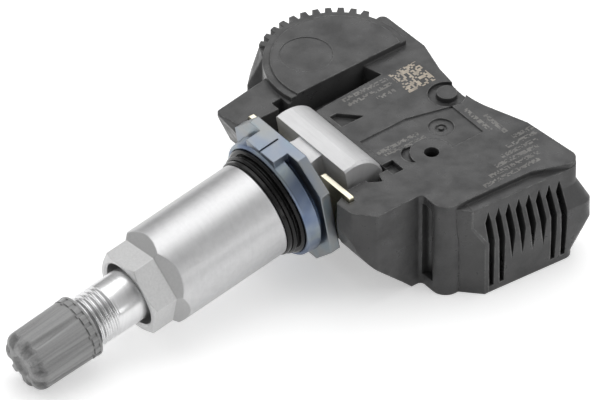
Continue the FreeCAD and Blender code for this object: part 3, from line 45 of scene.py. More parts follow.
# The valve's directions, from its joints: along the cross-bar, upright, and outward along the stem
JOINTS = {joint["name"]: joint for joint in frame["joints"]}
SWIVEL = Vector(JOINTS["valve_swivel"]["pos_m"])
SIDE = Vector(JOINTS["valve_swivel"]["axis"])
ALONG = Vector(JOINTS["nut_travel"]["axis"])
UPRIGHT = ALONG.cross(SIDE)
DROOP = math.asin(-ALONG.z)

# From the valve's own place, whose z runs outward along the stem, to the row frame
VALVE = Matrix((SIDE, UPRIGHT, ALONG)).transposed().to_4x4()
VALVE.translation = SWIVEL


def reach(node):
    """Lowest and highest place of a node along the valve, in millimetres from the swivel axis."""
    places = [(vertex.co - SWIVEL).dot(ALONG) / MM for vertex in frame["nodes"][node].data.vertices]
    return min(places), max(places)


# Shader graphs

# Turns of a texture: level with the housing, or down along the valve
LEVEL = (0.0, 0.0, 0.0)
TILTED = (DROOP, 0.0, 0.0)
# Rays that a rounded edge or a shaded hollow takes
EDGE_SAMPLES = 6
# Edges that turn by more than this are sharp, on the CAD nodes and on the scene's own pieces
NODE_CREASE, PIECE_CREASE = math.radians(24.0), math.radians(32.0)


class Graph:
    """A small writer of shader nodes, for a material or for the world."""

    def __init__(self, owner, shader):
        owner.use_nodes = True
        self.owner = owner
        self.nodes = owner.node_tree.nodes
        self.links = owner.node_tree.links
        self.shader = self.nodes[shader]

    def node(self, kind, inputs=None, **settings):
        made = self.nodes.new("ShaderNode" + kind)
        for key, value in settings.items():
            setattr(made, key, value)
        for key, value in (inputs or {}).items():
            self.feed(made.inputs[key], value)
        return made

    def feed(self, socket, value):
        """Links an output to a socket or sets the socket to a constant; a colour has three parts."""
        if isinstance(value, bpy.types.NodeSocket):
            self.links.new(value, socket)
        elif socket.type == "RGBA":
            socket.default_value = (*value, 1.0)
        else:
            socket.default_value = value

    def set(self, **inputs):
        for key, value in inputs.items():
            self.feed(self.shader.inputs[key.replace("_", " ")], value)

    def place(self, scale=(1.0, 1.0, 1.0), turn=LEVEL):
        """Object coordinates in millimetres, turned and then scaled."""
        coords = self.node("TexCoord").outputs["Object"]
        if turn != LEVEL:
            coords = self.node("Mapping", {"Vector": coords, "Rotation": turn}).outputs[0]
        return self.node("Mapping", {"Vector": coords, "Scale": tuple(s / MM for s in scale)}).outputs[0]

    def about_valve(self):
        """Distance from the swivel axis along the valve, and from the valve's own axis, in millimetres."""
        offset = self.vector("SUBTRACT", self.place(), tuple(SWIVEL / MM))
        along = self.vector("DOT_PRODUCT", offset, tuple(ALONG), "Value")
        across = self.vector("CROSS_PRODUCT", offset, tuple(ALONG))
        return along, self.vector("LENGTH", across, out="Value")

    def noise(self, scale, detail, roughness=0.55, turn=LEVEL):
        """Noise with this many waves per millimetre, as one number or one for each direction."""
        if not isinstance(scale, tuple):
            scale = (scale, scale, scale)
        inputs = {"Vector": self.place(scale, turn), "Scale": 1.0, "Detail": detail, "Roughness": roughness}
        return self.node("TexNoise", inputs).outputs["Fac"]

    def ramp(self, value, *stops):
        made = self.node("ValToRGB", {"Fac": value})
        elements = made.color_ramp.elements
        while len(elements) < len(stops):
            elements.new(0.5)
        for element, (at, color) in zip(elements, stops):
            element.position = at
            element.color = (*color, 1.0)
        return made.outputs["Color"]

    def tones(self, value, dark, light):
        return self.ramp(value, (0.35, dark), (0.65, light))

    def spread(self, value, low, high, from_low=0.3, from_high=0.7):
        made = self.node("MapRange", {"Value": value, "From Min": from_low, "From Max": from_high,
                                      "To Min": low, "To Max": high})
        return made.outputs["Result"]

    def mix(self, amount, first, second, blend="MIX"):
        inputs = {"Factor": amount, "A": first, "B": second}
        return self.node("Mix", inputs, data_type="RGBA", blend_type=blend).outputs["Result"]

    def math(self, kind, first, second=0.0):
        return self.node("Math", {0: first, 1: second}, operation=kind).outputs[0]

    def vector(self, kind, first, second=(0.0, 0.0, 0.0), out="Vector"):
        return self.node("VectorMath", {0: first, 1: second}, operation=kind).outputs[out]

    def product(self, first, *others):
        for other in others:
            first = self.math("MULTIPLY", first, other)
        return first

    def total(self, first, *others):
        for other in others:
            first = self.math("ADD", first, other)
        return first

    def weigh(self, first, second, share):
        """Two values in one, the first with this share of it."""
        return self.total(self.product(first, share), self.product(second, 1.0 - share))

    def within(self, value, low, high):
        return self.product(self.math("GREATER_THAN", value, low), self.math("LESS_THAN", value, high))

    def rounded(self, radius):
        """The normal, as if the edges had a radius in millimetres."""
        return self.node("Bevel", {"Radius": radius * MM}, samples=EDGE_SAMPLES).outputs[0]

    def open_sky(self, distance):
        """1 on open ground and less in hollows, which are felt over a distance in millimetres."""
        inputs = {"Distance": distance * MM}
        made = self.node("AmbientOcclusion", inputs, samples=EDGE_SAMPLES, only_local=True)
        return made.outputs["AO"]

    def edge_wear_and_sheen(self, radius, open_sky):
        """1 on outer edges of a radius in millimetres, 0 on open ground and in corners; it marks where edges
        take wear and a painted sheen.
        """
        normal = self.node("NewGeometry").outputs["Normal"]
        facing = self.vector("DOT_PRODUCT", self.rounded(radius), normal, "Value")
        edge = self.spread(facing, 1.0, 0.0, 0.90, 0.99)
        return self.product(edge, self.spread(open_sky, 0.0, 1.0, 0.80, 0.95))

    def bump(self, height, depth, edge):
        """Bump of a depth in millimetres, over edges rounded by a radius in millimetres."""
        inputs = {"Height": height, "Distance": depth * MM, "Strength": 1.0, "Normal": self.rounded(edge)}
        self.feed(self.shader.inputs["Normal"], self.node("Bump", inputs).outputs[0])


def new_material(name):
    return Graph(bpy.data.materials.new(name), "Principled BSDF")


def grey(value):
    return (value, value, value)


# Plastics and rubbers

def moulded(name, dark, light):
    """Moulded plastic with fine spark texture and slight cloudiness."""
    g = new_material(name)
    cloud = g.noise(0.16, 4.0)
    speck = g.noise(5.0, 2.0)
    g.set(Base_Color=g.tones(g.weigh(cloud, speck, 0.7), dark, light), Roughness=g.spread(cloud, 0.6, 0.42),
          Specular_IOR_Level=0.5)
    g.bump(speck, 0.012, 0.22)
    return g.owner


def ribbed_moulding(name, dark, light):
    """Moulded plastic with faint flow lines along the valve, and painted shade down in its grooves."""
    g = new_material(name)
    lines = g.noise((2.6, 0.05, 2.6), 2.0, 0.5, (-DROOP, 0.0, 0.0))
    both = g.weigh(lines, g.noise(5.0, 2.0), 0.75)
    # Painted shade: the colour is darkened in the grooves and hollows, where shade falls.
    shade = g.spread(g.open_sky(1.2), 0.5, 1.0, 0.55, 0.95)
    g.set(Base_Color=g.mix(1.0, g.tones(both, dark, light), shade, "MULTIPLY"),
          Roughness=g.spread(lines, 0.52, 0.34), Specular_IOR_Level=0.5)
    g.bump(both, 0.02, 0.12)
    return g.owner


def coated(name, dark, light, rough, edge=0.1, specular=0.5):
    """Rubber, solder mask or cast compound."""
    g = new_material(name)
    blot = g.noise(1.6, 3.0)
    g.set(Base_Color=g.tones(blot, dark, light), Roughness=g.spread(blot, *rough),
          Specular_IOR_Level=specular)
    g.bump(blot, 0.01, edge)
    return g.owner


# Generic laser marks on the housing, in millimetres: they lie above this height
MARKED_ABOVE = 15.2
# The square of random cells: its span in x and in y, a cell, and the share of cells that are pale
CODE_X, CODE_Y = (-7.1, -2.3), (28.8, 33.5)
CODE_CELL, CODE_PALE = 0.28, 0.52
# Printed lines: from one to the next, and their height as a share of that
LINE_PITCH, LINE_SHARE = 1.15, 0.62
# Their dashes: size across and along the line, and the share that is pale
DASH_ACROSS, DASH_ALONG, DASH_PALE = LINE_PITCH * 0.2, 0.24, 0.55
# Lines that run in y: start in x, number of lines, span in y, and how far each next line's two ends move
LINES_ALONG_Y = (
    (-6.9, 2, 20.6, 28.2, 0.0, 0.0),
    (-4.4, 1, 24.6, 27.6, 0.0, 0.0),
    (4.5, 2, 17.6, 24.6, 0.4, 0.4),
    (13.2, 6, 34.0, 38.0, -1.9, -0.8),
)
# Lines that run in x: start in y, span in x
LINES_ALONG_X = (
    (32.2, 5.0, 10.6),
    (33.6, 7.6, 12.2),
)


def laser_marks(g):
    """Where the printed lines and the square are: random dashes and cells, with no characters."""
    split = g.node("SeparateXYZ", {"Vector": g.place()}).outputs
    x, y = split["X"], split["Y"]
    above = g.math("GREATER_THAN", split["Z"], MARKED_ABOVE)

    def cells(pitch_x, pitch_y, share):
        """Random on and off cells of a pitch in millimetres."""
        column = g.math("FLOOR", g.math("DIVIDE", x, pitch_x))
        row = g.math("FLOOR", g.math("DIVIDE", y, pitch_y))
        grid = g.node("CombineXYZ", {"X": column, "Y": row}).outputs[0]
        noise = g.node("TexWhiteNoise", {"Vector": grid}, noise_dimensions="2D").outputs["Value"]
        return g.math("LESS_THAN", noise, share)

    def field(span_x, span_y, inked):
        return g.product(g.within(x, *span_x), g.within(y, *span_y), inked)

    def line_span(low):
        return low, low + LINE_PITCH * LINE_SHARE

    fields = []
    dashes = cells(DASH_ACROSS, DASH_ALONG, DASH_PALE)
    for low_x, count, low_y, high_y, low_step, high_step in LINES_ALONG_Y:
        for i in range(count):
            span_y = (low_y + i * low_step, high_y + i * high_step)
            fields.append(field(line_span(low_x + i * LINE_PITCH), span_y, dashes))
    dashes = cells(DASH_ALONG, DASH_ACROSS, DASH_PALE)
    for low_y, low_x, high_x in LINES_ALONG_X:
        fields.append(field((low_x, high_x), line_span(low_y), dashes))
    code = field(CODE_X, CODE_Y, cells(CODE_CELL, CODE_CELL, CODE_PALE))
    return g.product(g.total(*fields), above), g.product(code, above)


def marked_moulding(name, dark, light):
    """The housing's moulding: clouded, patchy in its gloss, worn and with a painted sheen at the edges,
    painted shade in its hollows, and marked by a laser.
    """
    g = new_material(name)
    speck = g.noise(4.0, 2.0)
    color = g.tones(g.weigh(g.noise(0.16, 4.0), speck, 0.7), dark, light)
    lines, code = laser_marks(g)
    faded = g.spread(g.noise(0.8, 2.0), 0.5, 1.0)
    color = g.mix(g.product(lines, faded, 0.55), color, (0.30, 0.29, 0.27))
    color = g.mix(g.product(code, faded), color, (0.52, 0.45, 0.36))
    open_sky = g.open_sky(1.6)
    # Outer edges are painted lighter in patches: partly wear, partly a painted sheen where the edges catch
    # the light.
    scuff_and_sheen = g.spread(g.noise(0.9, 4.0), 0.25, 1.0, 0.40, 0.62)
    color = g.mix(g.product(g.edge_wear_and_sheen(0.35, open_sky), scuff_and_sheen, 0.9), color, (0.24, 0.24, 0.238))
    # Painted shade: the colour is darker in hollows of the moulding, where shade falls.
    color = g.mix(1.0, color, g.spread(open_sky, 0.55, 1.0, 0.25, 0.9), "MULTIPLY")
    handled = g.noise((0.32, 0.26, 0.32), 5.0, 0.6, (0.0, 0.0, 0.6))
    g.set(Base_Color=color, Roughness=g.spread(handled, 0.58, 0.26, 0.38, 0.62), Specular_IOR_Level=0.5)
    swell = g.total(g.product(speck, 0.16), g.noise(0.42, 2.0))
    g.bump(swell, 0.055, 0.42)
    return g.owner


# Metals

# Waves per millimetre of the turning marks, which run round the valve
ROUND_VALVE = (0.2, 2.6, 0.2)


def machining(g, streak, turn):
    """Brushing or turning marks, which run the way of the streak's smallest number."""
    return g.noise(streak, 4.0, 0.65, turn)


def metal(name, dark, light, streak, turn=LEVEL):
    """Bare metal with machining marks."""
    g = new_material(name)
    lines = machining(g, streak, turn)
    tone = g.weigh(lines, g.noise(0.3, 3.0), 0.6)
    g.set(Base_Color=g.tones(tone, dark, light), Metallic=1.0, Roughness=g.spread(tone, 0.26, 0.36))
    g.bump(lines, 0.0004, 0.12)
    return g.owner


def stem_metal(name, shank_start=8.0, shank_whole=9.0):
    """Tumbled aluminium on the cross-bar, turned and brighter from the shank on, in millimetres along it."""
    g = new_material(name)
    along, _ = g.about_valve()
    turned = g.spread(along, 0.0, 1.0, shank_start, shank_whole)
    lines = machining(g, ROUND_VALVE, TILTED)
    tone = g.weigh(lines, g.noise(0.3, 3.0), 0.6)
    tumbled = g.tones(tone, (0.60, 0.60, 0.605), (0.68, 0.68, 0.685))
    bright = g.tones(tone, (0.66, 0.66, 0.665), (0.73, 0.73, 0.735))
    g.set(Base_Color=g.mix(turned, tumbled, bright), Metallic=g.spread(turned, 0.42, 1.0, 0.0, 1.0),
          Roughness=g.spread(turned, 0.42, 0.25, 0.0, 1.0))
    g.bump(lines, 0.0004, 0.12)
    return g.owner


def nut_metal(name, sleeve_inside=6.98, flat_length=3.8):
    """Satin turned sleeve; inside its radius the flats and the slopes behind them are as cast, and the slopes
    carry painted shade.
    """
    g = new_material(name)
    along, radius = g.about_valve()
    _, front = reach("union_nut")
    cast = g.math("LESS_THAN", radius, sleeve_inside)
    slopes = g.product(cast, g.math("LESS_THAN", along, front - flat_length))
    grain = g.noise(3.0, 3.0, 0.7)
    speckle = g.weigh(machining(g, ROUND_VALVE, TILTED), g.noise(1.2, 4.0), 0.35)
    sleeve_tone = g.ramp(speckle, (0.38, (0.52, 0.52, 0.525)), (0.62, (0.57, 0.57, 0.575)))
    # Painted shade: the slopes behind the flats are mixed halfway towards dark grey.
    cast_and_shaded_tone = g.mix(g.product(slopes, 0.5), g.tones(grain, grey(0.575), grey(0.635)), grey(0.28))
    g.set(Base_Color=g.mix(cast, sleeve_tone, cast_and_shaded_tone), Metallic=1.0,
          Roughness=g.total(g.product(cast, 0.06), g.spread(speckle, 0.35, 0.42)))
    g.bump(g.total(g.product(cast, grain, 2.5), speckle), 0.0005, 0.14)
    return g.owner


def passivated(name, plate_front=6.62, waist_front=7.25, round_radius=9.05):
    """Zinc whose passivation drifts through blue, violet, straw and cyan; the waist carries painted shade
    over its blue.
    """
    g = new_material(name)
    along, radius = g.about_valve()
    tint = g.ramp(g.noise((0.11, 0.22, 0.11), 2.0, 0.5),
                  (0.30, (0.20, 0.28, 0.34)), (0.42, (0.22, 0.25, 0.32)), (0.50, (0.29, 0.30, 0.31)),
                  (0.57, (0.32, 0.31, 0.28)), (0.66, (0.22, 0.29, 0.32)), (0.78, (0.27, 0.27, 0.33)))
    plate = g.mix(0.55, (0.25, 0.285, 0.325), tint)
    drift = g.ramp(g.noise(0.22, 2.0, 0.5, (0.4, 0.0, 0.0)),
                   (0.32, (0.12, 0.16, 0.25)), (0.50, (0.20, 0.24, 0.31)), (0.62, (0.27, 0.31, 0.33)),
                   (0.74, (0.17, 0.21, 0.30)))
    before_plate = g.math("GREATER_THAN", along, plate_front)
    round_part = g.product(before_plate, g.math("LESS_THAN", radius, round_radius))
    waist = g.product(round_part, g.math("LESS_THAN", along, waist_front))
    # Painted shade: the waist before the plate is mixed towards dark blue, as shade falls there.
    color = g.mix(g.product(waist, 0.7), g.mix(round_part, plate, drift), (0.07, 0.10, 0.18))
    fine = g.noise(2.0, 2.0)
    g.set(Base_Color=color, Metallic=1.0, Roughness=g.spread(fine, 0.30, 0.38))
    g.bump(fine, 0.0008, 0.2)
    return g.owner


def make_materials():
    """The material of each CAD node, by the node's name."""
    strap = (0.3, 4.0, 4.0)
    return {
        "housing": marked_moulding("moulding_dark_grey", (0.044, 0.044, 0.045), grey(0.066)),
        "potting": coated("potting_compound", grey(0.016), grey(0.026), (0.25, 0.4)),
        "circuit_board": coated("solder_mask", (0.02, 0.11, 0.045), (0.03, 0.15, 0.06), (0.3, 0.42)),
        "battery_cell": metal("cell_can", grey(0.52), grey(0.66), 1.5),
        "battery_tab_top": metal("nickel_strap_upper", (0.58, 0.56, 0.5), (0.72, 0.7, 0.64), strap),
        "battery_tab_bottom": metal("nickel_strap_lower", (0.56, 0.54, 0.5), (0.7, 0.68, 0.62), strap),
        "pressure_chip": moulded("chip_case", grey(0.018), grey(0.03)),
        "port_seal": coated("port_silicone", grey(0.012), grey(0.022), (0.45, 0.6)),
        "ferrite_core": moulded("ferrite", (0.045, 0.045, 0.05), (0.075, 0.075, 0.08)),
        "antenna_coil": metal("enamelled_wire", (0.42, 0.16, 0.06), (0.6, 0.26, 0.1), (0.3, 6.0, 0.3)),
        "crystal": metal("crystal_lid", (0.6, 0.58, 0.5), (0.76, 0.74, 0.66), 2.0),
        "board_parts": moulded("controller_case", (0.016, 0.016, 0.017), (0.028, 0.028, 0.03)),
        "retaining_clip": metal("clip_brass", (0.88, 0.82, 0.62), (0.94, 0.90, 0.74), (0.3, 2.0, 2.5)),
        "valve_stem": stem_metal("bright_aluminium"),
        "collar": passivated("blue_passivated"),
        "grommet": coated("grommet_rubber", grey(0.004), grey(0.008), (0.12, 0.2), 0.12, 0.25),
        "thrust_washer": coated("washer_nylon", grey(0.005), grey(0.009), (0.15, 0.25), specular=0.25),
        "union_nut": nut_metal("satin_aluminium"),
        "valve_cap": ribbed_moulding("cap_grey", grey(0.26), grey(0.36)),
        "cap_seal": coated("cap_rubber", grey(0.012), grey(0.02), (0.4, 0.55)),
        "core_body": metal("core_brass", (0.58, 0.44, 0.2), (0.74, 0.6, 0.32), ROUND_VALVE, TILTED),
        "core_pin": metal("core_pin_steel", grey(0.52), grey(0.66), ROUND_VALVE, TILTED),
        "core_seal": coated("core_rubber", grey(0.012), grey(0.02), (0.4, 0.55)),
        "core_spring": metal("spring_wire", grey(0.5), grey(0.64), 2.0, TILTED),
    }


def dress_nodes(materials):
    for name, material in materials.items():
        mesh = frame["nodes"][name].data
        mesh.materials.clear()
        mesh.materials.append(material)
        mesh.shade_smooth()
        mesh.set_sharp_from_angle(angle=NODE_CREASE)


# Pieces of the scene

def add_object(name, data):
    made = bpy.data.objects.new(name, data)
    bpy.context.scene.collection.objects.link(made)
    return made


def keep(bm, name, material, body, node=None, crisp=None):
    """Turns a finished mesh into a piece that rides on a body and may stand for a node.

    crisp says of an edge whether it stays hard.
    """
    hard = {frozenset(v.index for v in edge.verts) for edge in bm.edges if crisp and crisp(edge)}
    mesh = bpy.data.meshes.new(name)
    bm.to_mesh(mesh)
    bm.free()
    mesh.shade_smooth()
    mesh.set_sharp_from_angle(angle=PIECE_CREASE)
    for edge in mesh.edges:
        if frozenset(edge.vertices) in hard:
            edge.use_edge_sharp = True
    mesh.materials.append(material)
    piece = add_object(name, mesh)
    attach(piece, body)
    if node:
        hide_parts(node)
    return piece


def ring(radius, along, count):
    """A ring about the valve; its radius is in millimetres, or a function of the angle."""
    points = []
    for i in range(count):
        angle = math.tau * i / count
        r = radius(angle) if callable(radius) else radius
        points.append(Vector((r * math.sin(angle), r * math.cos(angle), along)) * MM)
    return points


def pole(along):
    """A ring of one point, on the valve's axis."""
    return [Vector((0.0, 0.0, along)) * MM]


def place_rings(bm, rings):
    """The vertices of rings that are given in the valve's own place."""
    return [[bm.verts.new(VALVE @ point) for point in points] for points in rings]


def skin(bm, rows):
    """Faces between rows of vertices, which are rings of equal length or poles."""
    for lower, upper in zip(rows, rows[1:]):
        count = max(len(lower), len(upper))
        for i in range(count):
            j = (i + 1) % count
            corners = [lower[i % len(lower)], lower[j % len(lower)],
                       upper[j % len(upper)], upper[i % len(upper)]]
            bm.faces.new(list(dict.fromkeys(corners)))


def smooth_step(low, high, value):
    t = min(max((value - low) / (high - low), 0.0), 1.0)
    return t * t * (3.0 - 2.0 * t)


# The cap: its place along the valve from the frame, and the rest in millimetres from its rim
CAP_RIM, CAP_TIP = reach("valve_cap")
CAP_LENGTH = CAP_TIP - CAP_RIM
CAP_TURN = math.radians(22.5)
# Radius of the plain ring at the rim, and where it ends
RING_RADIUS, RING_END = 4.6, 0.32
# Castellations: number, radius at the foot, height and where they end, and each one's flanks in its pitch
BLOCKS, BLOCK_FOOT, BLOCK_HEIGHT, BLOCK_END = 16, 4.42, 0.14, 1.22
BLOCK_RISE, BLOCK_FALL = (0.10, 0.20), (0.80, 0.90)
# The groove behind them
GROOVE_RADIUS, GROOVE_END = 4.41, 1.42
# Lobes: number, radius at the rim, how much smaller at the tip, how round each is, and the tip's rounding
LOBES, LOBE_RADIUS, LOBE_TAPER, LOBE_ROUND, TIP_ROUND = 8, 4.53, 0.14, 0.10, 1.5
# Flutes between the lobes: depth and half angle, and what each gains from one place to another
FLUTE_DEPTH, FLUTE_DEEPER, FLUTE_DEEPENS = 0.14, 0.14, (1.4, 7.0)
FLUTE_HALF, FLUTE_WIDER, FLUTE_WIDENS = 0.11, 0.05, (2.0, 8.0)
# Pockets at the end of the flutes: depth, where they start and are whole, half angle at the top and bottom
POCKET_DEPTH, POCKET_START, POCKET_WHOLE = 0.85, 8.8, 9.3
POCKET_TOP, POCKET_BOTTOM = 0.27, 0.15
# The recess in the tip: radius and how much it waves
RECESS_RADIUS, RECESS_WAVE = 1.56, 0.07
# The bore, and where it ends along the valve
CAP_BORE, CAP_FLOOR = 3.93, 50.1
CAP_SIDES = 288


def lobe_radius(u, angle):
    """Outside of the fluted part of the cap, u millimetres from its rim."""
    lobe = math.tau / LOBES
    off = abs((angle - CAP_TURN + lobe / 2) % lobe - lobe / 2)
    wide = FLUTE_HALF + FLUTE_WIDER * smooth_step(*FLUTE_WIDENS, u)
    deep = FLUTE_DEPTH + FLUTE_DEEPER * smooth_step(*FLUTE_DEEPENS, u)
    flute = deep * smooth_step(wide, wide * 0.25, off)
    soft = LOBE_ROUND * (1.0 - math.cos(math.pi * (1.0 - 2.0 * off / lobe))) / 2.0
    pocket = 0.0
    if u > POCKET_START:
        start = smooth_step(POCKET_START, POCKET_WHOLE, u)
        pocket = POCKET_DEPTH * start * smooth_step(POCKET_TOP, POCKET_BOTTOM, off)
    base = LOBE_RADIUS - LOBE_TAPER * (u / CAP_LENGTH)
    over = u - (CAP_LENGTH - TIP_ROUND)
    if over > 0.0:
        base -= TIP_ROUND - math.sqrt(max(TIP_ROUND * TIP_ROUND - over * over, 0.0))
    return base - soft - max(flute, pocket)


def cap_radius(u, angle):
    """Outside of the cap, u millimetres from its rim: ring, castellations, groove and lobes."""
    if u <= RING_END:
        return RING_RADIUS
    if u <= BLOCK_END:
        phase = (angle - CAP_TURN) / (math.tau / BLOCKS) % 1.0
        return BLOCK_FOOT + BLOCK_HEIGHT * (smooth_step(*BLOCK_RISE, phase) - smooth_step(*BLOCK_FALL, phase))
    if u <= GROOVE_END:
        return GROOVE_RADIUS
    return lobe_radius(u, angle)


def cap_inside():
    """Rings of the bore, from its floor out to the rim."""
    return [
        pole(CAP_FLOOR),
        ring(CAP_BORE * 0.5, CAP_FLOOR, CAP_SIDES),
        ring(CAP_BORE, CAP_FLOOR, CAP_SIDES),
        ring(CAP_BORE, CAP_RIM + 0.3, CAP_SIDES),
        ring(CAP_BORE + 0.12, CAP_RIM, CAP_SIDES),
    ]


def cap_outside():
    """Rings from the rim to the tip, closer together where the outline turns."""
    steps = [0.0, 0.3, RING_END, 0.36, 0.4, 1.18, BLOCK_END, 1.24, 1.40, 1.44, 1.52, 1.7]
    steps += [2.0 + 0.5 * i for i in range(12)]
    steps += [8.0, 8.4]
    steps += [POCKET_START + 0.06 * i for i in range(10)]
    steps += [CAP_LENGTH - gap for gap in (0.85, 0.7, 0.55, 0.4, 0.28, 0.18, 0.1, 0.04, 0.0)]
    return [ring(partial(cap_radius, u), CAP_RIM + u, CAP_SIDES) for u in steps]


def cap_recess():
    """Rings over the tip and down into its recess."""
    def recess(angle):
        return RECESS_RADIUS + RECESS_WAVE * math.cos(LOBES * (angle - CAP_TURN))

    return [
        ring(lambda a: cap_radius(CAP_LENGTH, a) * 0.62 + recess(a) * 0.38, CAP_TIP, CAP_SIDES),
        ring(lambda a: recess(a) + 0.16, CAP_TIP, CAP_SIDES),
        ring(lambda a: recess(a) + 0.04, CAP_TIP - 0.06, CAP_SIDES),
        ring(lambda a: recess(a) - 0.2, CAP_TIP - 0.36, CAP_SIDES),
        ring(lambda a: recess(a) * 0.7, CAP_TIP - 0.46, CAP_SIDES),
        pole(CAP_TIP - 0.48),
    ]


def make_cap(material):
    """The grey cap with its castellations, its lobes and the pockets and the recess in its tip."""
    bm = bmesh.new()
    skin(bm, place_rings(bm, cap_inside() + cap_outside() + cap_recess()))
    bmesh.ops.recalc_face_normals(bm, faces=bm.faces)
    return keep(bm, "cap_grip", material, "cap", "valve_cap")


# The nose, in millimetres: where it takes over from the stem's own solid, its radii, lead-in and thread
NOSE_START, NOSE_END = 36.9, reach("valve_stem")[1]
NOSE_RADIUS, NOSE_BORE, NOSE_LEAD = 3.85, 2.6, 0.5
THREAD_PITCH, THREAD_DEPTH = 0.794, 0.34
# Rings of the nose in one pitch, and the points of a ring
THREAD_STEPS, NOSE_SIDES = 12, 96
# Edges of the cross-bar stay hard: they lie this near to the swivel axis and turn by more than this angle
BAR_REACH, BAR_CREASE = 5.4, math.radians(9.5)


def thread_radius(along, angle):
    """Outside of the nose, whose thread deepens over its first turn."""
    phase = (along / THREAD_PITCH - angle / math.tau) % 1.0
    fade = smooth_step(NOSE_START + 0.2, NOSE_START + 1.0, along)
    return NOSE_RADIUS - THREAD_DEPTH * fade * (0.5 - 0.5 * math.cos(math.tau * phase)) ** 0.8


def nose_rings():
    """Rings out along the thread, over the lead-in at the tip and back through the bore."""
    step = THREAD_PITCH / THREAD_STEPS
    places = [NOSE_START + k * step for k in range(1, int((NOSE_END - NOSE_LEAD - NOSE_START) / step))]
    rings = [ring(NOSE_RADIUS, NOSE_START, NOSE_SIDES)]
    rings += [ring(partial(thread_radius, along), along, NOSE_SIDES) for along in places]
    rings += [
        ring(NOSE_RADIUS - 0.4, NOSE_END - 0.45, NOSE_SIDES),
        ring(NOSE_RADIUS - NOSE_LEAD, NOSE_END, NOSE_SIDES),
        ring(NOSE_BORE + 0.1, NOSE_END, NOSE_SIDES),
        ring(NOSE_BORE, NOSE_END - 0.1, NOSE_SIDES),
        ring(NOSE_BORE, NOSE_START, NOSE_SIDES),
    ]
    return rings


def make_stem(material):
    """The stem's own solid as far as the thread, and from there on a nose with its thread cut."""
    bm = bmesh.new()
    bm.from_mesh(frame["nodes"]["valve_stem"].data)
    bmesh.ops.remove_doubles(bm, verts=bm.verts, dist=1e-7)
    found = bmesh.ops.bisect_plane(bm, geom=bm.verts[:] + bm.edges[:] + bm.faces[:], dist=1e-7,
                                   plane_co=SWIVEL + ALONG * (NOSE_START * MM), plane_no=ALONG,
                                   clear_outer=True)
    rim = [part for part in found["geom_cut"] if isinstance(part, bmesh.types.BMEdge)]
    bmesh.ops.triangle_fill(bm, edges=rim, use_beauty=True)
    nose = place_rings(bm, nose_rings())
    skin(bm, nose + nose[:1])
    bmesh.ops.recalc_face_normals(bm, faces=bm.faces)
    bm.verts.index_update()

    def on_bar(edge):
        near = all((v.co - SWIVEL).yz.length < BAR_REACH * MM for v in edge.verts)
        return near and len(edge.link_faces) == 2 and edge.calc_face_angle(0.0) > BAR_CREASE

    return keep(bm, "threaded_stem", material, "valve", "valve_stem", on_bar)


# The fairing, in millimetres from the swivel axis: the housing's wall, and how far it reaches in behind it
END_WALL, INTO_WALL, INTO_BLOCK = 20.2, 0.02, 1.0
# Height, and there the block's corner in x, the fairing's back and front in y, and its foot on the wall in y
FAIRING_LEVELS = (
    (1.69, 21.9, 8.92, 8.75, 7.3),
    (-1.3, 21.9, 8.92, 8.6, 7.3),
    (-4.3, 22.85, 10.92, 10.25, 7.7),
    (-12.99, 22.85, 10.92, 10.25, 7.7),
)


def make_end_fairing(material):
    """The moulding runs over softly into the near side of the finned end, and closes the first slot there."""
    bm = bmesh.new()
    rows = []
    for height, corner, back, front, foot in FAIRING_LEVELS:
        outline = ((corner, back), (corner, front),
                   (END_WALL - INTO_WALL, foot), (END_WALL - INTO_BLOCK, back))
        rows.append([bm.verts.new(SWIVEL + Vector((x, y, height)) * MM) for x, y in outline])
    skin(bm, rows)
    bm.faces.new(rows[0])
    bm.faces.new(rows[-1])
    bmesh.ops.recalc_face_normals(bm, faces=bm.faces)
    return keep(bm, "end_fairing", material, "housing")


# Stage, light and camera

# Half the floor's width and how far it lies below the object, in metres
FLOOR_HALF, FLOOR_DROP = 3.0, 0.05 * MM
# How brightly the floor shows itself to the camera and in reflections; it gives no light of its own
FLOOR_GLOW = 0.42
# The studio, from straight down to straight up, and its dark side in front of the object
STUDIO_LOW, STUDIO_HIGH, STUDIO_DARK = grey(0.36), grey(0.80), grey(0.12)
DARK_SIDE = (0.60, -0.47, 0.645)
# Lamps, which all face the middle of the object: name, place and size in metres, and power in watts
MIDDLE = (0.0, 0.0, 0.008)
LAMPS = (
    ("overhead", (-0.115, 0.09, 0.45), (0.44, 0.34), 0.62),
    ("rear_sheen", (-0.36, 0.28, 0.36), (0.34, 0.20), 0.22),
    ("front_left", (-0.40, -0.22, 0.26), (0.30, 0.22), 0.22),
    ("back_right", (0.36, 0.34, 0.30), (0.26, 0.20), 0.30),
    ("low_right", (0.42, 0.144, 0.125), (0.10, 0.12), 0.08),
)
# The photograph's view, which is close to parallel: where the swivel axis is in its pixels, and its scale
AZIMUTH, ELEVATION = math.radians(52.0), math.radians(40.3)
PICTURE_X, PICTURE_Y = 600.0, 400.0
SWIVEL_X, SWIVEL_Y = 321.0, 164.9
PIXELS_PER_METRE = 7.4 / MM
DISTANCE = 2.0
SENSOR = 36.0


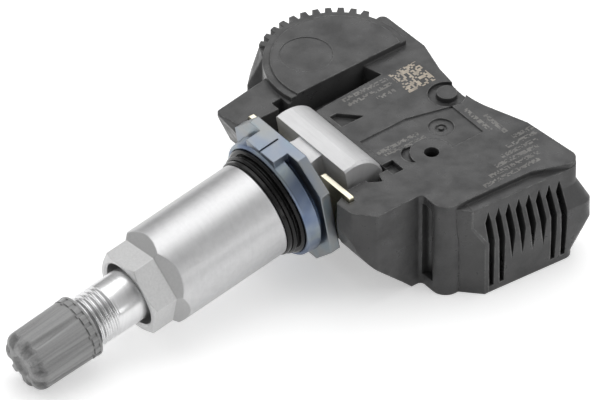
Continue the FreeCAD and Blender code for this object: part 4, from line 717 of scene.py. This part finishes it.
def set_floor():
    mesh = bpy.data.meshes.new("floor")
    corners = [(-FLOOR_HALF, -FLOOR_HALF, 0), (FLOOR_HALF, -FLOOR_HALF, 0), (FLOOR_HALF, FLOOR_HALF, 0),
               (-FLOOR_HALF, FLOOR_HALF, 0)]
    mesh.from_pydata(corners, [], [(0, 1, 2, 3)])
    floor = add_object("floor", mesh)
    floor.location.z = -FLOOR_DROP
    g = new_material("pale_paper")
    rays = g.node("LightPath").outputs
    seen = g.math("MAXIMUM", rays["Is Camera Ray"], g.math("MAXIMUM", rays["Is Glossy Ray"],
                                                          rays["Is Transmission Ray"]))
    g.set(Base_Color=g.ramp(g.noise(0.05, 2.0), (0.3, grey(0.90)), (0.7, grey(0.92))), Roughness=0.9,
          Specular_IOR_Level=0.1, Emission_Color=grey(1.0), Emission_Strength=g.product(seen, FLOOR_GLOW))
    mesh.materials.append(g.owner)


def set_studio():
    world = bpy.data.worlds.new("studio")
    bpy.context.scene.world = world
    g = Graph(world, "Background")
    way = g.node("TexCoord").outputs["Generated"]
    height = g.node("SeparateXYZ", {"Vector": way}).outputs["Z"]
    dark = g.spread(g.vector("DOT_PRODUCT", way, DARK_SIDE, "Value"), 0.0, 1.0, 0.78, 0.97)
    g.set(Color=g.mix(dark, g.ramp(height, (0.0, STUDIO_LOW), (1.0, STUDIO_HIGH)), STUDIO_DARK))


def set_lamps():
    for name, place, size, power in LAMPS:
        data = bpy.data.lights.new(name, "AREA")
        data.shape = "RECTANGLE"
        data.size, data.size_y = size
        data.energy = power
        lamp = add_object(name, data)
        lamp.location = place
        lamp.rotation_euler = (Vector(MIDDLE) - Vector(place)).to_track_quat("-Z", "Y").to_euler()


def set_camera():
    back = Vector((math.sin(AZIMUTH) * math.cos(ELEVATION), -math.cos(AZIMUTH) * math.cos(ELEVATION),
                   math.sin(ELEVATION)))
    right = Vector((math.cos(AZIMUTH), math.sin(AZIMUTH), 0.0))
    up = back.cross(right)
    target = SWIVEL + right * ((PICTURE_X / 2 - SWIVEL_X) / PIXELS_PER_METRE)
    target -= up * ((PICTURE_Y / 2 - SWIVEL_Y) / PIXELS_PER_METRE)
    data = bpy.data.cameras.new("camera")
    data.sensor_width = SENSOR
    data.lens = PIXELS_PER_METRE * DISTANCE / PICTURE_X * SENSOR
    data.clip_start = 0.01
    data.clip_end = 20.0
    camera = add_object("camera", data)
    turn = Matrix((right, up, back)).transposed().to_4x4()
    camera.matrix_world = Matrix.Translation(target + back * DISTANCE) @ turn
    bpy.context.scene.camera = camera


MATERIALS = make_materials()
dress_nodes(MATERIALS)
make_cap(MATERIALS["valve_cap"])
make_stem(MATERIALS["valve_stem"])
make_end_fairing(MATERIALS["housing"])
set_floor()
set_studio()
set_lamps()
set_camera()
bpy.context.scene.view_settings.view_transform = "Standard"
